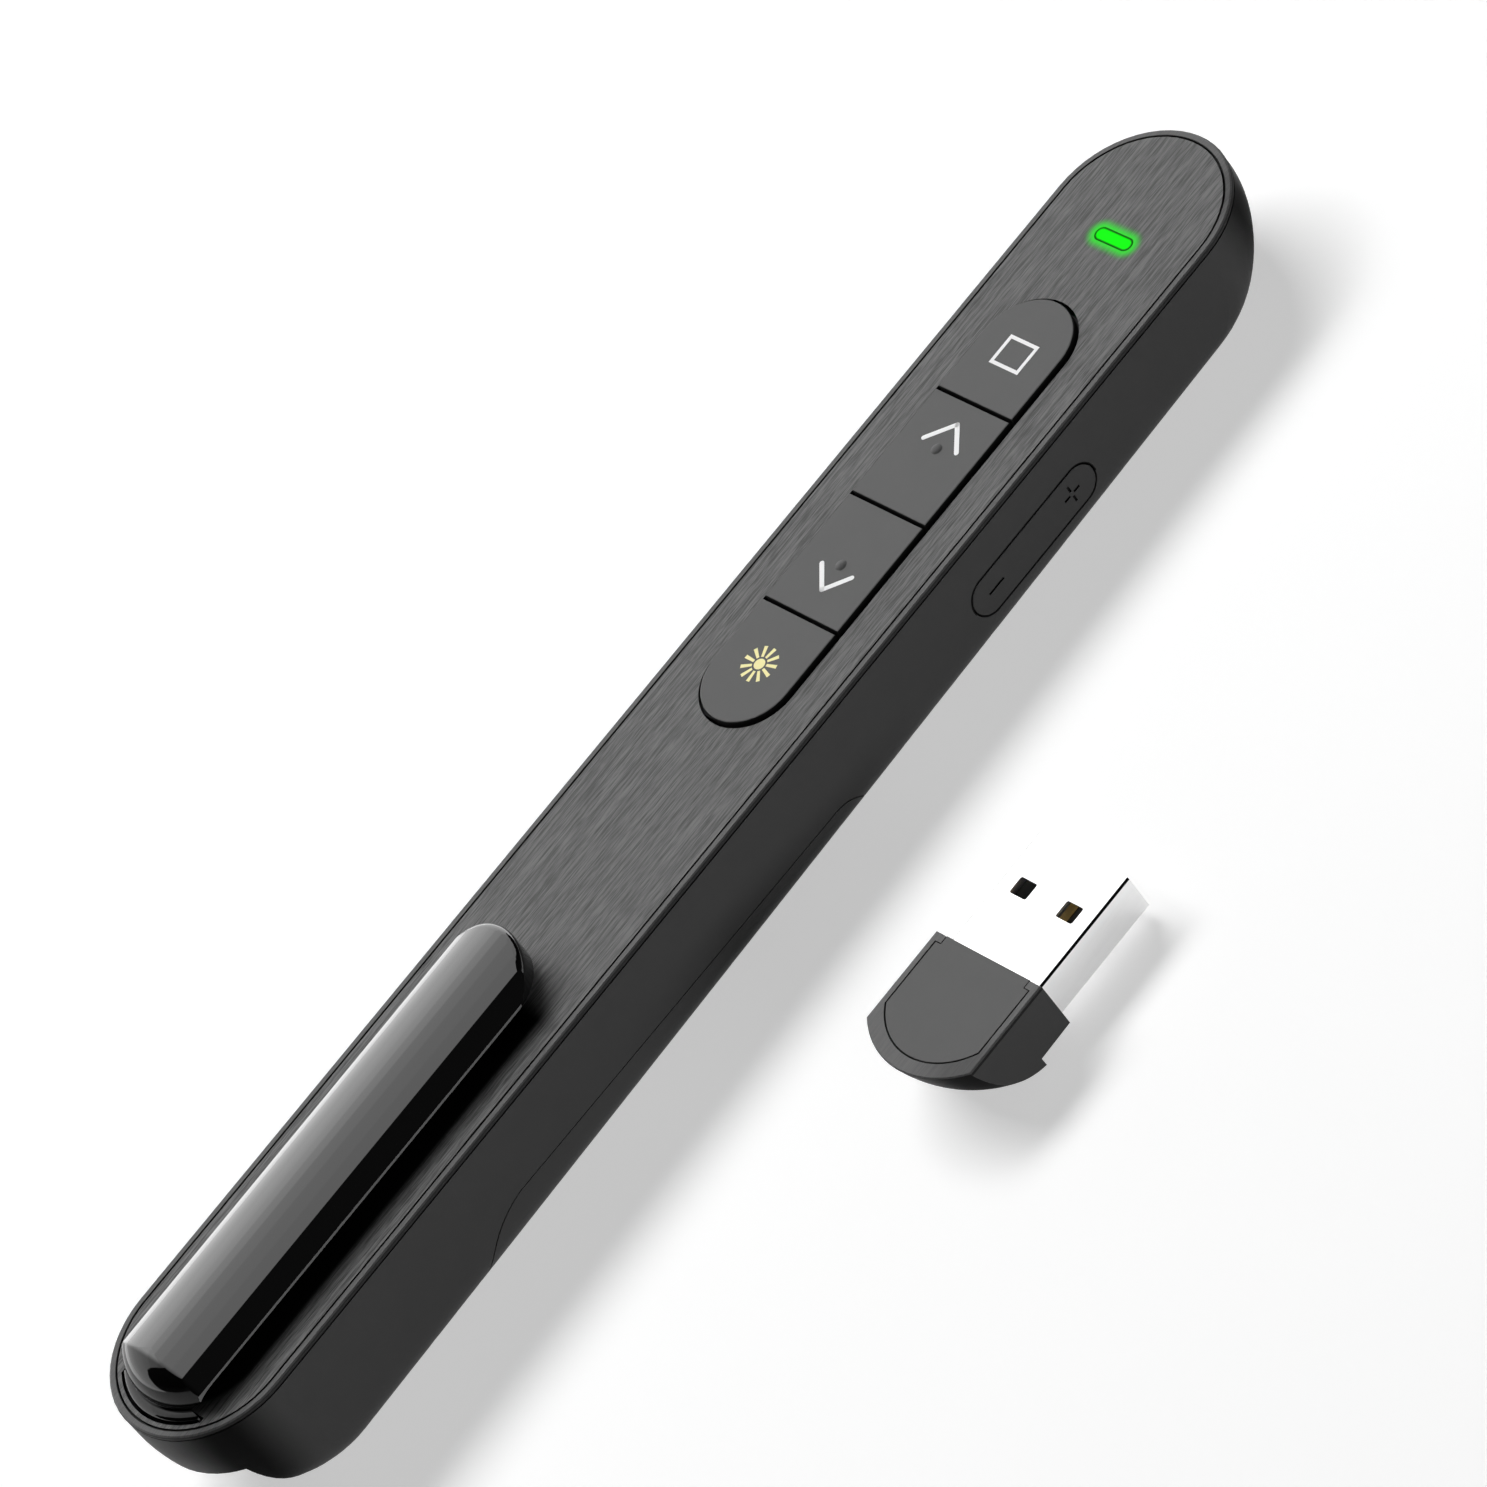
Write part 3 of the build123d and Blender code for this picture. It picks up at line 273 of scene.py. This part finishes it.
def metal(name, low, high, roughness, tint=(1, 1, 1)):
    """Drawn or plated metal with faint lines along it."""
    m = Nodes(name)
    streak = m.noise(m.scaled((1600, 120, 1600)), 1.0, 3.0, 0.6)
    dark, light = (tuple(value * part for part in tint) + (1,) for value in (low, high))
    m.paint(m.mix(streak, dark, light))
    m.set(Roughness=m.spread(streak, roughness - 0.05, roughness + 0.07))
    m.shader.inputs["Metallic"].default_value = 1.0
    m.bump(streak, 0.0000012)
    return m


def ink(name, low, high):
    """Printed ink, a little uneven."""
    m = Nodes(name)
    mottle = m.noise(m.scaled((3500, 3500, 3500)), 1.0, 3.0, 0.6)
    m.set(Base_Color=m.mix(mottle, low, high), Roughness=m.spread(mottle, 0.45, 0.6))
    m.bump(mottle, 0.000001)
    return m


# ---- the face plate

# from the finest up: share of the tone, fineness across and along, seed, noise detail and roughness
PLATE_STREAKS = (
    (0.15, (22.0, 0.9), 3.0, 2.0, 0.5),
    (0.40, (9.0, 0.42), 7.0, 2.0, 0.6),
    (0.45, (3.4, 0.10), 0.0, 3.0, 0.65),
)
PLATE_SPECULAR = 0.2
PLATE_DARK, PLATE_LIGHT = 0.038, 0.145
# the clip's painted shadow on the plate: right of this, behind the clip's tip, by distance from the pen's
# middle line
CLIP_SHADE_SIDE = 4.0
CLIP_SHADE_TIP = (-27.0, -24.5)
CLIP_SHADE_CORE = (6.45, 7.15, 0.05, 1.0)    # from, to, and the share of light kept at each
CLIP_SHADE_FADE = (7.0, 9.2, 0.32, 1.0)
# painted light: the left ends of the key pad's opening, whose walls are painted pale as if lit
LIT_NOSE_SIDE, LIT_TAIL_SIDE, LIT_WALL_GREY = 1.8, -1.5, 0.30
OPENING_HALF, OPENING_END = PAD_HALF + 0.2, 5.4
# the lamp's glow, painted on the plate as green colour and emission, spreads from a bar this long each
# way, between these distances
GLOW_HALF = 1.7
GLOW_REACH = (0.75, 2.1)
GLOW_GREEN = (0.0, 0.03, 0.0, 1)
GLOW_STRENGTH = 0.62


def beside_clip(m, across, along):
    """How much of its light the plate loses to the right of the clip, as a mask for the clip's painted
    shadow.
    """
    away = m.reach(across, along)
    start, end, low, high = CLIP_SHADE_CORE
    core = m.spread(m.step(away, start, end), low, high)
    kept = m.times(core, m.ramp(away, *CLIP_SHADE_FADE))
    beside = m.times(m.more(across, CLIP_SHADE_SIDE), m.outside(m.step(along, *CLIP_SHADE_TIP)))
    return m.times(beside, m.outside(kept))


def lit_opening_ends(m, across, along):
    """Left ends of the key pad's opening, where its walls get painted light: the gap only reads as a line
    on its right.
    """
    tail, nose = PAD_ENDS
    nose_end = m.times(m.more(along, nose), m.less(across, LIT_NOSE_SIDE))
    tail_end = m.times(m.less(along, tail), m.less(across, LIT_TAIL_SIDE))
    within = m.less(m.absolute(across), OPENING_HALF)
    near = m.times(m.more(along, tail - OPENING_END), m.less(along, nose + OPENING_END))
    return m.times(m.either(nose_end, tail_end), within, near)


def brushed_plate():
    """Dark brushed finish, with painted shade on the walls of its openings, the clip's painted shadow,
    painted light at the pad opening's left ends, and the lamp's glow painted on it.
    """
    m = Nodes("plate_brushed")
    across, along, up = m.deck_coordinates()
    tone = None
    for share, fineness, seed, detail, rough in PLATE_STREAKS:
        part = m.times(m.streaks(across, along, fineness, seed, detail, rough), share)
        tone = part if tone is None else m.math("ADD", part, tone)
    m.paint(m.mix(m.step(tone, 0.38, 0.62), grey(PLATE_DARK), grey(PLATE_LIGHT)))
    m.set(Roughness=m.spread(tone, 0.60, 0.42))
    m.bump(tone, 0.000012, 0.6)

    # painted shade: the walls of the plate's openings, below its top, are black
    edge = m.less(up, -0.03)
    m.shade(edge, SHADE_BLACK)
    # painted shadow of the clip on the plate, with less sheen there
    painted_shadow = beside_clip(m, across, along)
    m.shade(painted_shadow, 0.0)
    m.specular(PLATE_SPECULAR, m.outside(painted_shadow))

    # painted glow: green colour and emission on the plate round the lamp
    from_lamp = m.length(m.beyond(across, GLOW_HALF), m.minus(along, LAMP_ALONG))
    painted_glow = m.math("POWER", m.outside(m.step(from_lamp, *GLOW_REACH)), 1.8)
    painted_glow = m.times(painted_glow, m.more(up, -0.05))
    m.paint(m.mix(m.math("POWER", painted_glow, 0.6), m.colour, GLOW_GREEN))
    m.set(Emission_Color=(0.0, 1.0, 0.0, 1), Emission_Strength=m.times(painted_glow, GLOW_STRENGTH))
    # painted light: the lit left ends of the pad opening's walls are pale grey
    m.shade(m.times(edge, lit_opening_ends(m, across, along)), LIT_WALL_GREY)
    return m


# ---- the shells of the pen and the receiver

SHELL_SPECULAR = 0.12
SHELL_LOOK = (0.088, 0.100, 0.50)    # greys and roughness


def right_bend(m, across, along, middle, width):
    """1 on the right bend of each round end, which turns away from the light and gets painted shade;
    middle and width in radians.
    """
    turned = m.math("ARCTAN2", m.beyond(along, END_CENTRE), across)
    return m.outside(m.step(m.absolute(m.minus(turned, middle)), 0.08, width))


# painted shade on a bend, with less sheen there
def paint_bend_shade(m, bend):
    m.shade(m.times(bend, 0.92), SHADE_BLACK)
    m.specular(SHELL_SPECULAR, m.outside(m.times(bend, 0.9)))


def brushed_rim(m, across, along, up, level, low, high):
    """The flat top, at this level, is brushed and lighter."""
    streak = m.streaks(across, along, (7.0, 0.35), 5.0, 3.0, 0.6)
    colour = m.mix(m.step(streak, 0.3, 0.7), grey(low), grey(high))
    m.paint(m.mix(m.step(up, level - 0.17, level - 0.09), m.colour, colour))


def rocker_gap(m, across, along, up):
    """Outline of the rocker's opening in the right-hand wall, but for its lower edge, for painted shade.
    """
    middle, half_length, height, radius = ROCKER
    rise = m.minus(up, height)
    off = m.length(m.beyond(m.minus(along, middle), half_length), rise)
    outline = m.times(m.less(off, radius + 0.09), m.more(rise, -0.4))
    return m.times(outline, m.more(across, HALF_WIDTH - 0.3))


def housing_shell():
    m = moulded("housing_plastic", *SHELL_LOOK, spec=SHELL_SPECULAR)
    across, along, up = m.deck_coordinates()
    # painted shade on the right bend of each round end
    paint_bend_shade(m, right_bend(m, across, along, 0.68, 0.62))
    # painted shade: a dark band along the top of the wall under the rim, darkest in its lower part
    edge = m.more(up, -0.62)
    m.shade(edge, 0.014)
    m.shade(m.more(up, -0.38), 0.045)
    # painted shade round the rocker's opening
    m.shade(rocker_gap(m, across, along, up), 0.006)
    brushed_rim(m, across, along, up, 0.0, 0.095, 0.135)
    # painted shade: the seat of the face plate, inside the rim, is black
    m.shade(m.times(edge, m.less(m.reach(across, along), HALF_WIDTH - 0.70)), SHADE_BLACK)
    return m


def receiver_shell():
    m = moulded("receiver_plastic", *SHELL_LOOK, spec=SHELL_SPECULAR)
    across, along, up = m.deck_coordinates(RECEIVER_SHIFT)
    # painted shade on the right bend of its round end, not on its flat sides
    bend = right_bend(m, across, along, 0.85, 0.74)
    paint_bend_shade(m, m.times(bend, m.less(m.absolute(across), RECEIVER_FLANK)))
    brushed_rim(m, across, along, up, RECEIVER_TOP, 0.126, 0.152)
    # painted shade: under its edge a dark band, and the walls round the cap black, but for the two corner
    # blocks
    m.shade(m.times(m.more(up, RECEIVER_TOP - 0.42), m.less(up, RECEIVER_TOP - 0.14)), 0.012)
    block = m.times(m.more(m.absolute(across), CAP_NOTCH[0]), m.more(along, CAP_NOTCH[1]))
    shaded_well = m.times(m.inside_cap(across, along, 0.05), m.more(up, RECEIVER_TOP - 1.2))
    m.shade(m.times(shaded_well, m.outside(block)), SHADE_BLACK)
    return m


# ---- keys, rocker and cap: their sides, and what is sunk in them, get painted shade in black


def key_finish():
    m = moulded("key_plastic", 0.093, 0.103, 0.60, 0.000002, 0.2)
    across, along, up = m.deck_coordinates()
    # painted shade: the key's sides are black
    m.shade(m.less(up, KEY_TOP - 0.05), SHADE_BLACK)
    return m


def rocker_finish():
    m = moulded("rocker_plastic", 0.086, 0.098, 0.50, spec=SHELL_SPECULAR)
    across, along, up = m.deck_coordinates()
    # painted shade: the rocker's sides are black
    m.shade(m.less(across, HALF_WIDTH - 0.04), SHADE_BLACK)
    return m


def cap_finish():
    m = moulded("cap_plastic", 0.090, 0.100, 0.55, 0.000002, 0.2)
    across, along, up = m.deck_coordinates(RECEIVER_SHIFT)
    # painted shade: the cap's sides and a narrow band round its top edge are black
    m.shade(m.less(up, RECEIVER_TOP - 0.03), SHADE_BLACK)
    m.shade(m.outside(m.inside_cap(across, along, -0.14)), SHADE_BLACK)
    return m


# ---- the rest

CLIP_SPECULAR, HEEL_SPECULAR = 0.8, 0.22


def gloss_black():
    """Glossy black; the narrow upright side at the clip's lower edge gets a painted highlight in a
    lighter grey.
    """
    m = Nodes("clip_gloss")
    orange_peel = m.noise(m.scaled((900, 900, 900)), 1.0, 2.0, 0.4)
    smear = m.noise(m.scaled((160, 40, 160)), 1.0, 3.0, 0.6)
    across, along, up = m.deck_coordinates()
    # painted highlight on the clip's narrow upright side at its lower edge
    lip_highlight = m.times(m.less(up, LIP_TOP), m.more(m.absolute(across), CLIP_HALF_WIDTH - 0.05))
    m.paint(m.mix(smear, grey(0.0015), grey(0.0035)))
    m.shade(lip_highlight, LIP_HIGHLIGHT_GREY)
    m.set(Roughness=m.spread(smear, 0.035, 0.075))
    # the bend at its heel mirrors less than the bar
    m.specular(CLIP_SPECULAR)
    bar = m.step(along, CLIP_BEND - 0.35, CLIP_BEND + 0.15)
    m.set(Specular_IOR_Level=m.spread(bar, HEEL_SPECULAR, CLIP_SPECULAR))
    m.bump(orange_peel, 0.0000006)
    return m


def plug_metal():
    """The plug's shell; the bend between its top and its right side gets a painted dark reflection."""
    m = metal("usb_metal", 0.86, 0.93, 0.34)
    facing = m.node("SeparateXYZ", {0: m.node("TexCoord").outputs["Normal"]}).outputs
    # painted dark reflection along the bend between top and right side
    m.shade(m.times(m.step(facing[0], 0.30, 0.45), m.step(facing[2], 0.12, 0.22)), 0.01)
    return m


def laminate():
    m = Nodes("board_laminate")
    weave = m.noise(m.scaled((2400, 2400, 2400)), 1.0, 2.0, 0.5)
    cloud = m.noise(m.scaled((300, 300, 300)), 1.0, 3.0, 0.5)
    m.paint(m.mix(cloud, (0.008, 0.075, 0.022, 1), (0.014, 0.12, 0.036, 1)))
    m.set(Roughness=m.spread(weave, 0.28, 0.42))
    m.bump(weave, 0.000002)
    return m


def lit_green():
    """The status lamp, bright in the middle."""
    m = Nodes("lamp_green")
    across, along, up = m.deck_coordinates()
    from_middle = m.length(m.beyond(across, 1.65), m.minus(along, LAMP_ALONG))
    inside = m.outside(m.step(from_middle, 0.50, 0.68))
    m.paint((0.002, 0.10, 0.002, 1))
    m.set(
        Roughness=m.spread(m.noise(m.scaled((3000, 3000, 3000)), 1.0), 0.2, 0.3),
        Emission_Color=m.mix(inside, (0.0, 0.06, 0.0, 1), (0.0, 0.95, 0.0, 1)),
        Emission_Strength=m.spread(inside, 0.5, 0.95),
    )
    m.specular(0.02)
    return m


def clear_lens():
    m = Nodes("lens_clear")
    haze = m.noise(m.scaled((1500, 1500, 1500)), 1.0)
    m.paint(m.mix(haze, (0.30, 0.04, 0.04, 1), (0.36, 0.06, 0.06, 1)))
    m.set(Roughness=m.spread(haze, 0.04, 0.09))
    m.shader.inputs["Coat Weight"].default_value = 1.0
    return m


body_plastic = moulded("body_plastic", *SHELL_LOOK, spec=SHELL_SPECULAR)
plain_plastic = moulded("switch_plastic", 0.03, 0.04, 0.4)
pale_plastic = moulded("plunger_plastic", 0.55, 0.62, 0.4)
white_ink = ink("white_ink", grey(0.90), grey(0.96))
yellow_ink = ink("yellow_ink", (0.90, 0.82, 0.34, 1), (0.95, 0.88, 0.40, 1))

SLOT_FINISH = {
    "body_plastic": body_plastic,
    "plate_brushed": brushed_plate(),
    "key_plastic": key_finish(),
    "rocker_plastic": rocker_finish(),
    "plunger_plastic": pale_plastic,
    "switch_plastic": plain_plastic,
    "board_laminate": laminate(),
    "screw_steel": metal("screw_steel", 0.50, 0.60, 0.32),
    "spring_steel": metal("spring_steel", 0.58, 0.68, 0.26),
    "chip_plastic": plain_plastic,
    "crystal_can": metal("crystal_can", 0.55, 0.65, 0.28),
    "led_plastic": pale_plastic,
    "lamp_green": lit_green(),
    "barrel_brass": metal("barrel_brass", 0.60, 0.70, 0.30, (1.0, 0.74, 0.36)),
    "lens_clear": clear_lens(),
    "bezel_metal": metal("bezel_metal", 0.10, 0.16, 0.35),
    "clip_gloss": gloss_black(),
    "clip_rubber": moulded("clip_rubber", 0.018, 0.026, 0.7),
    "cell_sleeve": metal("cell_sleeve", 0.28, 0.36, 0.35),
    "receiver_top_plastic": cap_finish(),
    "usb_metal": plug_metal(),
    "tongue_plastic": moulded("tongue_plastic", 0.10, 0.12, 0.5, 0.000002, 0.2),
    "contact_gold": metal("contact_gold", 0.80, 0.90, 0.25, (1.0, 0.76, 0.34)),
}
OWN_FINISH = {"housing": housing_shell(), "receiver_body": receiver_shell()}

for sub in frame["record"]["subparts"]:
    finish = OWN_FINISH.get(sub["node"], SLOT_FINISH[sub["material_slot"]])
    for material_slot in nodes[sub["node"]].material_slots:
        material_slot.material = finish.material

# ---------------------------------------------------------------- printed icons

INK = 0.012                  # thickness of the print
SQUARE = (1.98, 1.70, 50.10, 0.38)   # half width, half height, middle along, line width
CHEVRON_WIDTH = 0.50
CHEVRONS = (                 # name, key, and its three corners
    ("print_up", "key_page_up", ((-2.25, 39.0), (0.08, 41.55), (2.35, 39.0))),
    ("print_down", "key_page_down", ((-2.1, 23.75), (0.12, 21.45), (2.15, 23.75))),
)
SUN = Vector((0.0, 12.40))
SUN_RADIUS, SUN_STEPS = 0.60, 24
RAYS, RAY_TURN = 11, 0.25
RAY_ENDS = ((0.80, 0.14), (2.00, 0.20))      # distance from the middle and half width


def piece(name, finish, body):
    """New empty mesh object that rides on a body."""
    mesh = bpy.data.meshes.new(name)
    made = bpy.data.objects.new(name, mesh)
    bpy.context.scene.collection.objects.link(made)
    mesh.materials.append(finish.material)
    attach(made, body)
    return made


def close(made, shape):
    bmesh.ops.recalc_face_normals(shape, faces=shape.faces)
    shape.to_mesh(made.data)
    shape.free()
    made.data.update()


def on_keys(shape, outline, height):
    return [shape.verts.new(place(x, y, KEY_TOP + height)) for x, y in outline]


def band(shape, low, high):
    """Faces between two loops with the same number of points."""
    count = len(low)
    for k in range(count):
        after = (k + 1) % count
        shape.faces.new((low[k], low[after], high[after], high[k]))


def slabs(outlines):
    """Closed slabs on the keys from flat outlines, each a list of points in mm."""
    shape = bmesh.new()
    for outline in outlines:
        bottom, top = on_keys(shape, outline, 0), on_keys(shape, outline, INK)
        band(shape, bottom, top)
        shape.faces.new(top)
        shape.faces.new(list(reversed(bottom)))
    return shape


def ring(outer, inner):
    """Closed slab on a key between two outlines with the same number of points."""
    shape = bmesh.new()
    sections = ((outer, 0), (outer, INK), (inner, INK), (inner, 0))
    loops = [on_keys(shape, line, height) for line, height in sections]
    for a, b in zip(loops, loops[1:] + loops[:1]):
        band(shape, a, b)
    return shape


def stroke(a, b, width, steps=8):
    """Outline of a straight stroke with round ends."""
    direction = (Vector(b) - Vector(a)).normalized()
    side = Vector((-direction.y, direction.x))
    line = []
    for centre, start in ((Vector(b), -pi / 2), (Vector(a), pi / 2)):
        for k in range(steps + 1):
            angle = start + pi * k / steps
            point = centre + (direction * cos(angle) + side * sin(angle)) * (width / 2)
            line.append((point.x, point.y))
    return line


def rectangle(half_x, half_y, middle_y):
    signs = ((-1, -1), (1, -1), (1, 1), (-1, 1))
    return [(x * half_x, middle_y + y * half_y) for x, y in signs]


# white square outline on the blank-screen key
half_x, half_y, middle_y, line_width = SQUARE
outer = rectangle(half_x, half_y, middle_y)
inner = rectangle(half_x - line_width, half_y - line_width, middle_y)
close(piece("print_square", white_ink, "key_blank_screen"), ring(outer, inner))

# chevrons on the page keys, each two strokes that meet at its point
for name, body, (start, point, end) in CHEVRONS:
    strokes = [stroke(start, point, CHEVRON_WIDTH), stroke(end, point, CHEVRON_WIDTH)]
    close(piece(name, white_ink, body), slabs(strokes))

# pale yellow sun on the laser key
angles = [2 * pi * k / SUN_STEPS for k in range(SUN_STEPS)]
outlines = [[(SUN.x + SUN_RADIUS * cos(a), SUN.y + SUN_RADIUS * sin(a)) for a in angles]]
for k in range(RAYS):
    angle = 2 * pi * k / RAYS + RAY_TURN
    out = Vector((cos(angle), sin(angle)))
    side = Vector((-out.y, out.x))
    (near, near_half), (far, far_half) = RAY_ENDS
    corners = ((near, -near_half), (far, -far_half), (far, far_half), (near, near_half))
    outlines.append([tuple(SUN + out * reach + side * half) for reach, half in corners])
close(piece("print_sun", yellow_ink, "key_laser"), slabs(outlines))

# ---------------------------------------------------------------- floor, light and world

FLOOR_HALF = 4.0
FLOOR_LEVEL = -0.00002
FLOOR_GLOW = 0.52            # keeps the floor pale where a camera or a mirror sees it

floor_mesh = bpy.data.meshes.new("floor")
floor = bpy.data.objects.new("floor", floor_mesh)
bpy.context.scene.collection.objects.link(floor)
shape = bmesh.new()
corners = [shape.verts.new((x, y, FLOOR_LEVEL)) for x, y in rectangle(FLOOR_HALF, FLOOR_HALF, 0)]
shape.faces.new(corners)
close(floor, shape)
paper = Nodes("floor_paper")
paper.paint(paper.mix(paper.noise(paper.scaled((40, 40, 40)), 1.0), grey(0.66), grey(0.68)))
paper.set(Roughness=paper.spread(paper.noise(paper.scaled((60, 60, 60)), 1.0), 0.9, 0.95))
paper.specular(0.0)
seen = paper.node("LightPath").outputs
mirrored = paper.either(seen["Is Glossy Ray"], seen["Is Transmission Ray"])
shown = paper.either(seen["Is Camera Ray"], mirrored)
paper.set(Emission_Color=(1, 1, 1, 1), Emission_Strength=paper.times(shown, FLOOR_GLOW))
floor_mesh.materials.append(paper.material)
floor.visible_diffuse = False


def area_light(name, place_m, size, radiance, aim=(0, 0, 0), lit=True, mirrored=False):
    """Soft light of a given radiance; lit reaches matte surfaces, mirrored shows in glossy ones."""
    data = bpy.data.lights.new(name, "AREA")
    data.shape = "RECTANGLE"
    data.size, data.size_y = size
    data.energy = radiance * pi * size[0] * size[1]
    lamp = bpy.data.objects.new(name, data)
    bpy.context.scene.collection.objects.link(lamp)
    lamp.location = Vector(place_m)
    lamp.rotation_euler = (Vector(place_m) - Vector(aim)).to_track_quat("Z", "Y").to_euler()
    lamp.visible_camera = False
    lamp.visible_diffuse = lit
    lamp.visible_glossy = mirrored


# the key light comes over the left side, the fill from the right keeps the walls readable
area_light("key", (-0.63, 0.10, 0.777), (0.90, 0.29), 12.55)
area_light("softbox_right", (1.10, 0.10, 0.12), (0.55, 0.24), 6.9)
area_light("softbox_front", (-0.10, -1.20, 0.30), (1.2, 0.6), 0.10)
area_light("softbox_back", (0.10, 1.20, 0.30), (1.2, 0.6), 0.10)

# one bent card of strips, seen only in glossy surfaces: corners as (across, height) in m, from the
# table at the left, up and over to a little beyond overhead, and each strip's radiance
CARD_CORNERS = (
    (-0.075, 0.0), (-0.14, 0.018), (-0.30, 0.15), (-0.40, 0.30), (-0.42, 0.44),
    (-0.36, 0.55), (-0.22, 0.62), (-0.03, 0.65), (0.16, 0.66),
)
CARD_RADIANCE = (2.5, 2.9, 3.05, 2.9, 2.45, 1.95, 1.72, 1.6)
CARD_LENGTH, CARD_MIDDLE = 1.3, 0.12

for k, radiance in enumerate(CARD_RADIANCE):
    a, b = (Vector((across, 0, height)) for across, height in CARD_CORNERS[k : k + 2])
    run = b - a
    centre = (a + b) / 2 + Vector((0, CARD_MIDDLE, 0))
    inward = Vector((run.z, 0, -run.x)).normalized()
    size = (CARD_LENGTH, run.length)
    area_light("card_%d" % k, centre, size, radiance, aim=centre + inward, lit=False, mirrored=True)

world = bpy.data.worlds.new("world")
bpy.context.scene.world = world
world.use_nodes = True
tree = world.node_tree
background = tree.nodes["Background"]
where = tree.nodes.new("ShaderNodeTexCoord")
direction = tree.nodes.new("ShaderNodeSeparateXYZ")
tree.links.new(where.outputs["Generated"], direction.inputs[0])

# the sky is light at the horizon and dark above, dimmed below the horizon and to the left:
# axis, its range, the level at each end, and how it goes between
SKY = (
    ("Z", (0.05, 0.22), (0.50, 0.04), "SMOOTHSTEP"),
    ("Z", (-0.05, 0.0), (0.15, 1.0), "LINEAR"),
    ("X", (0.2, 0.9), (0.12, 1.0), "LINEAR"),
)
level = None
for axis, given, result, kind in SKY:
    ramp = tree.nodes.new("ShaderNodeMapRange")
    ramp.interpolation_type = kind
    for socket, value in zip(("From Min", "From Max", "To Min", "To Max"), given + result):
        ramp.inputs[socket].default_value = value
    tree.links.new(direction.outputs[axis], ramp.inputs["Value"])
    if level is None:
        level = ramp.outputs[0]
    else:
        product = tree.nodes.new("ShaderNodeMath")
        product.operation = "MULTIPLY"
        tree.links.new(level, product.inputs[0])
        tree.links.new(ramp.outputs[0], product.inputs[1])
        level = product.outputs[0]
tree.links.new(level, background.inputs["Color"])
background.inputs["Strength"].default_value = 1.0

bpy.context.scene.view_settings.view_transform = "Standard"
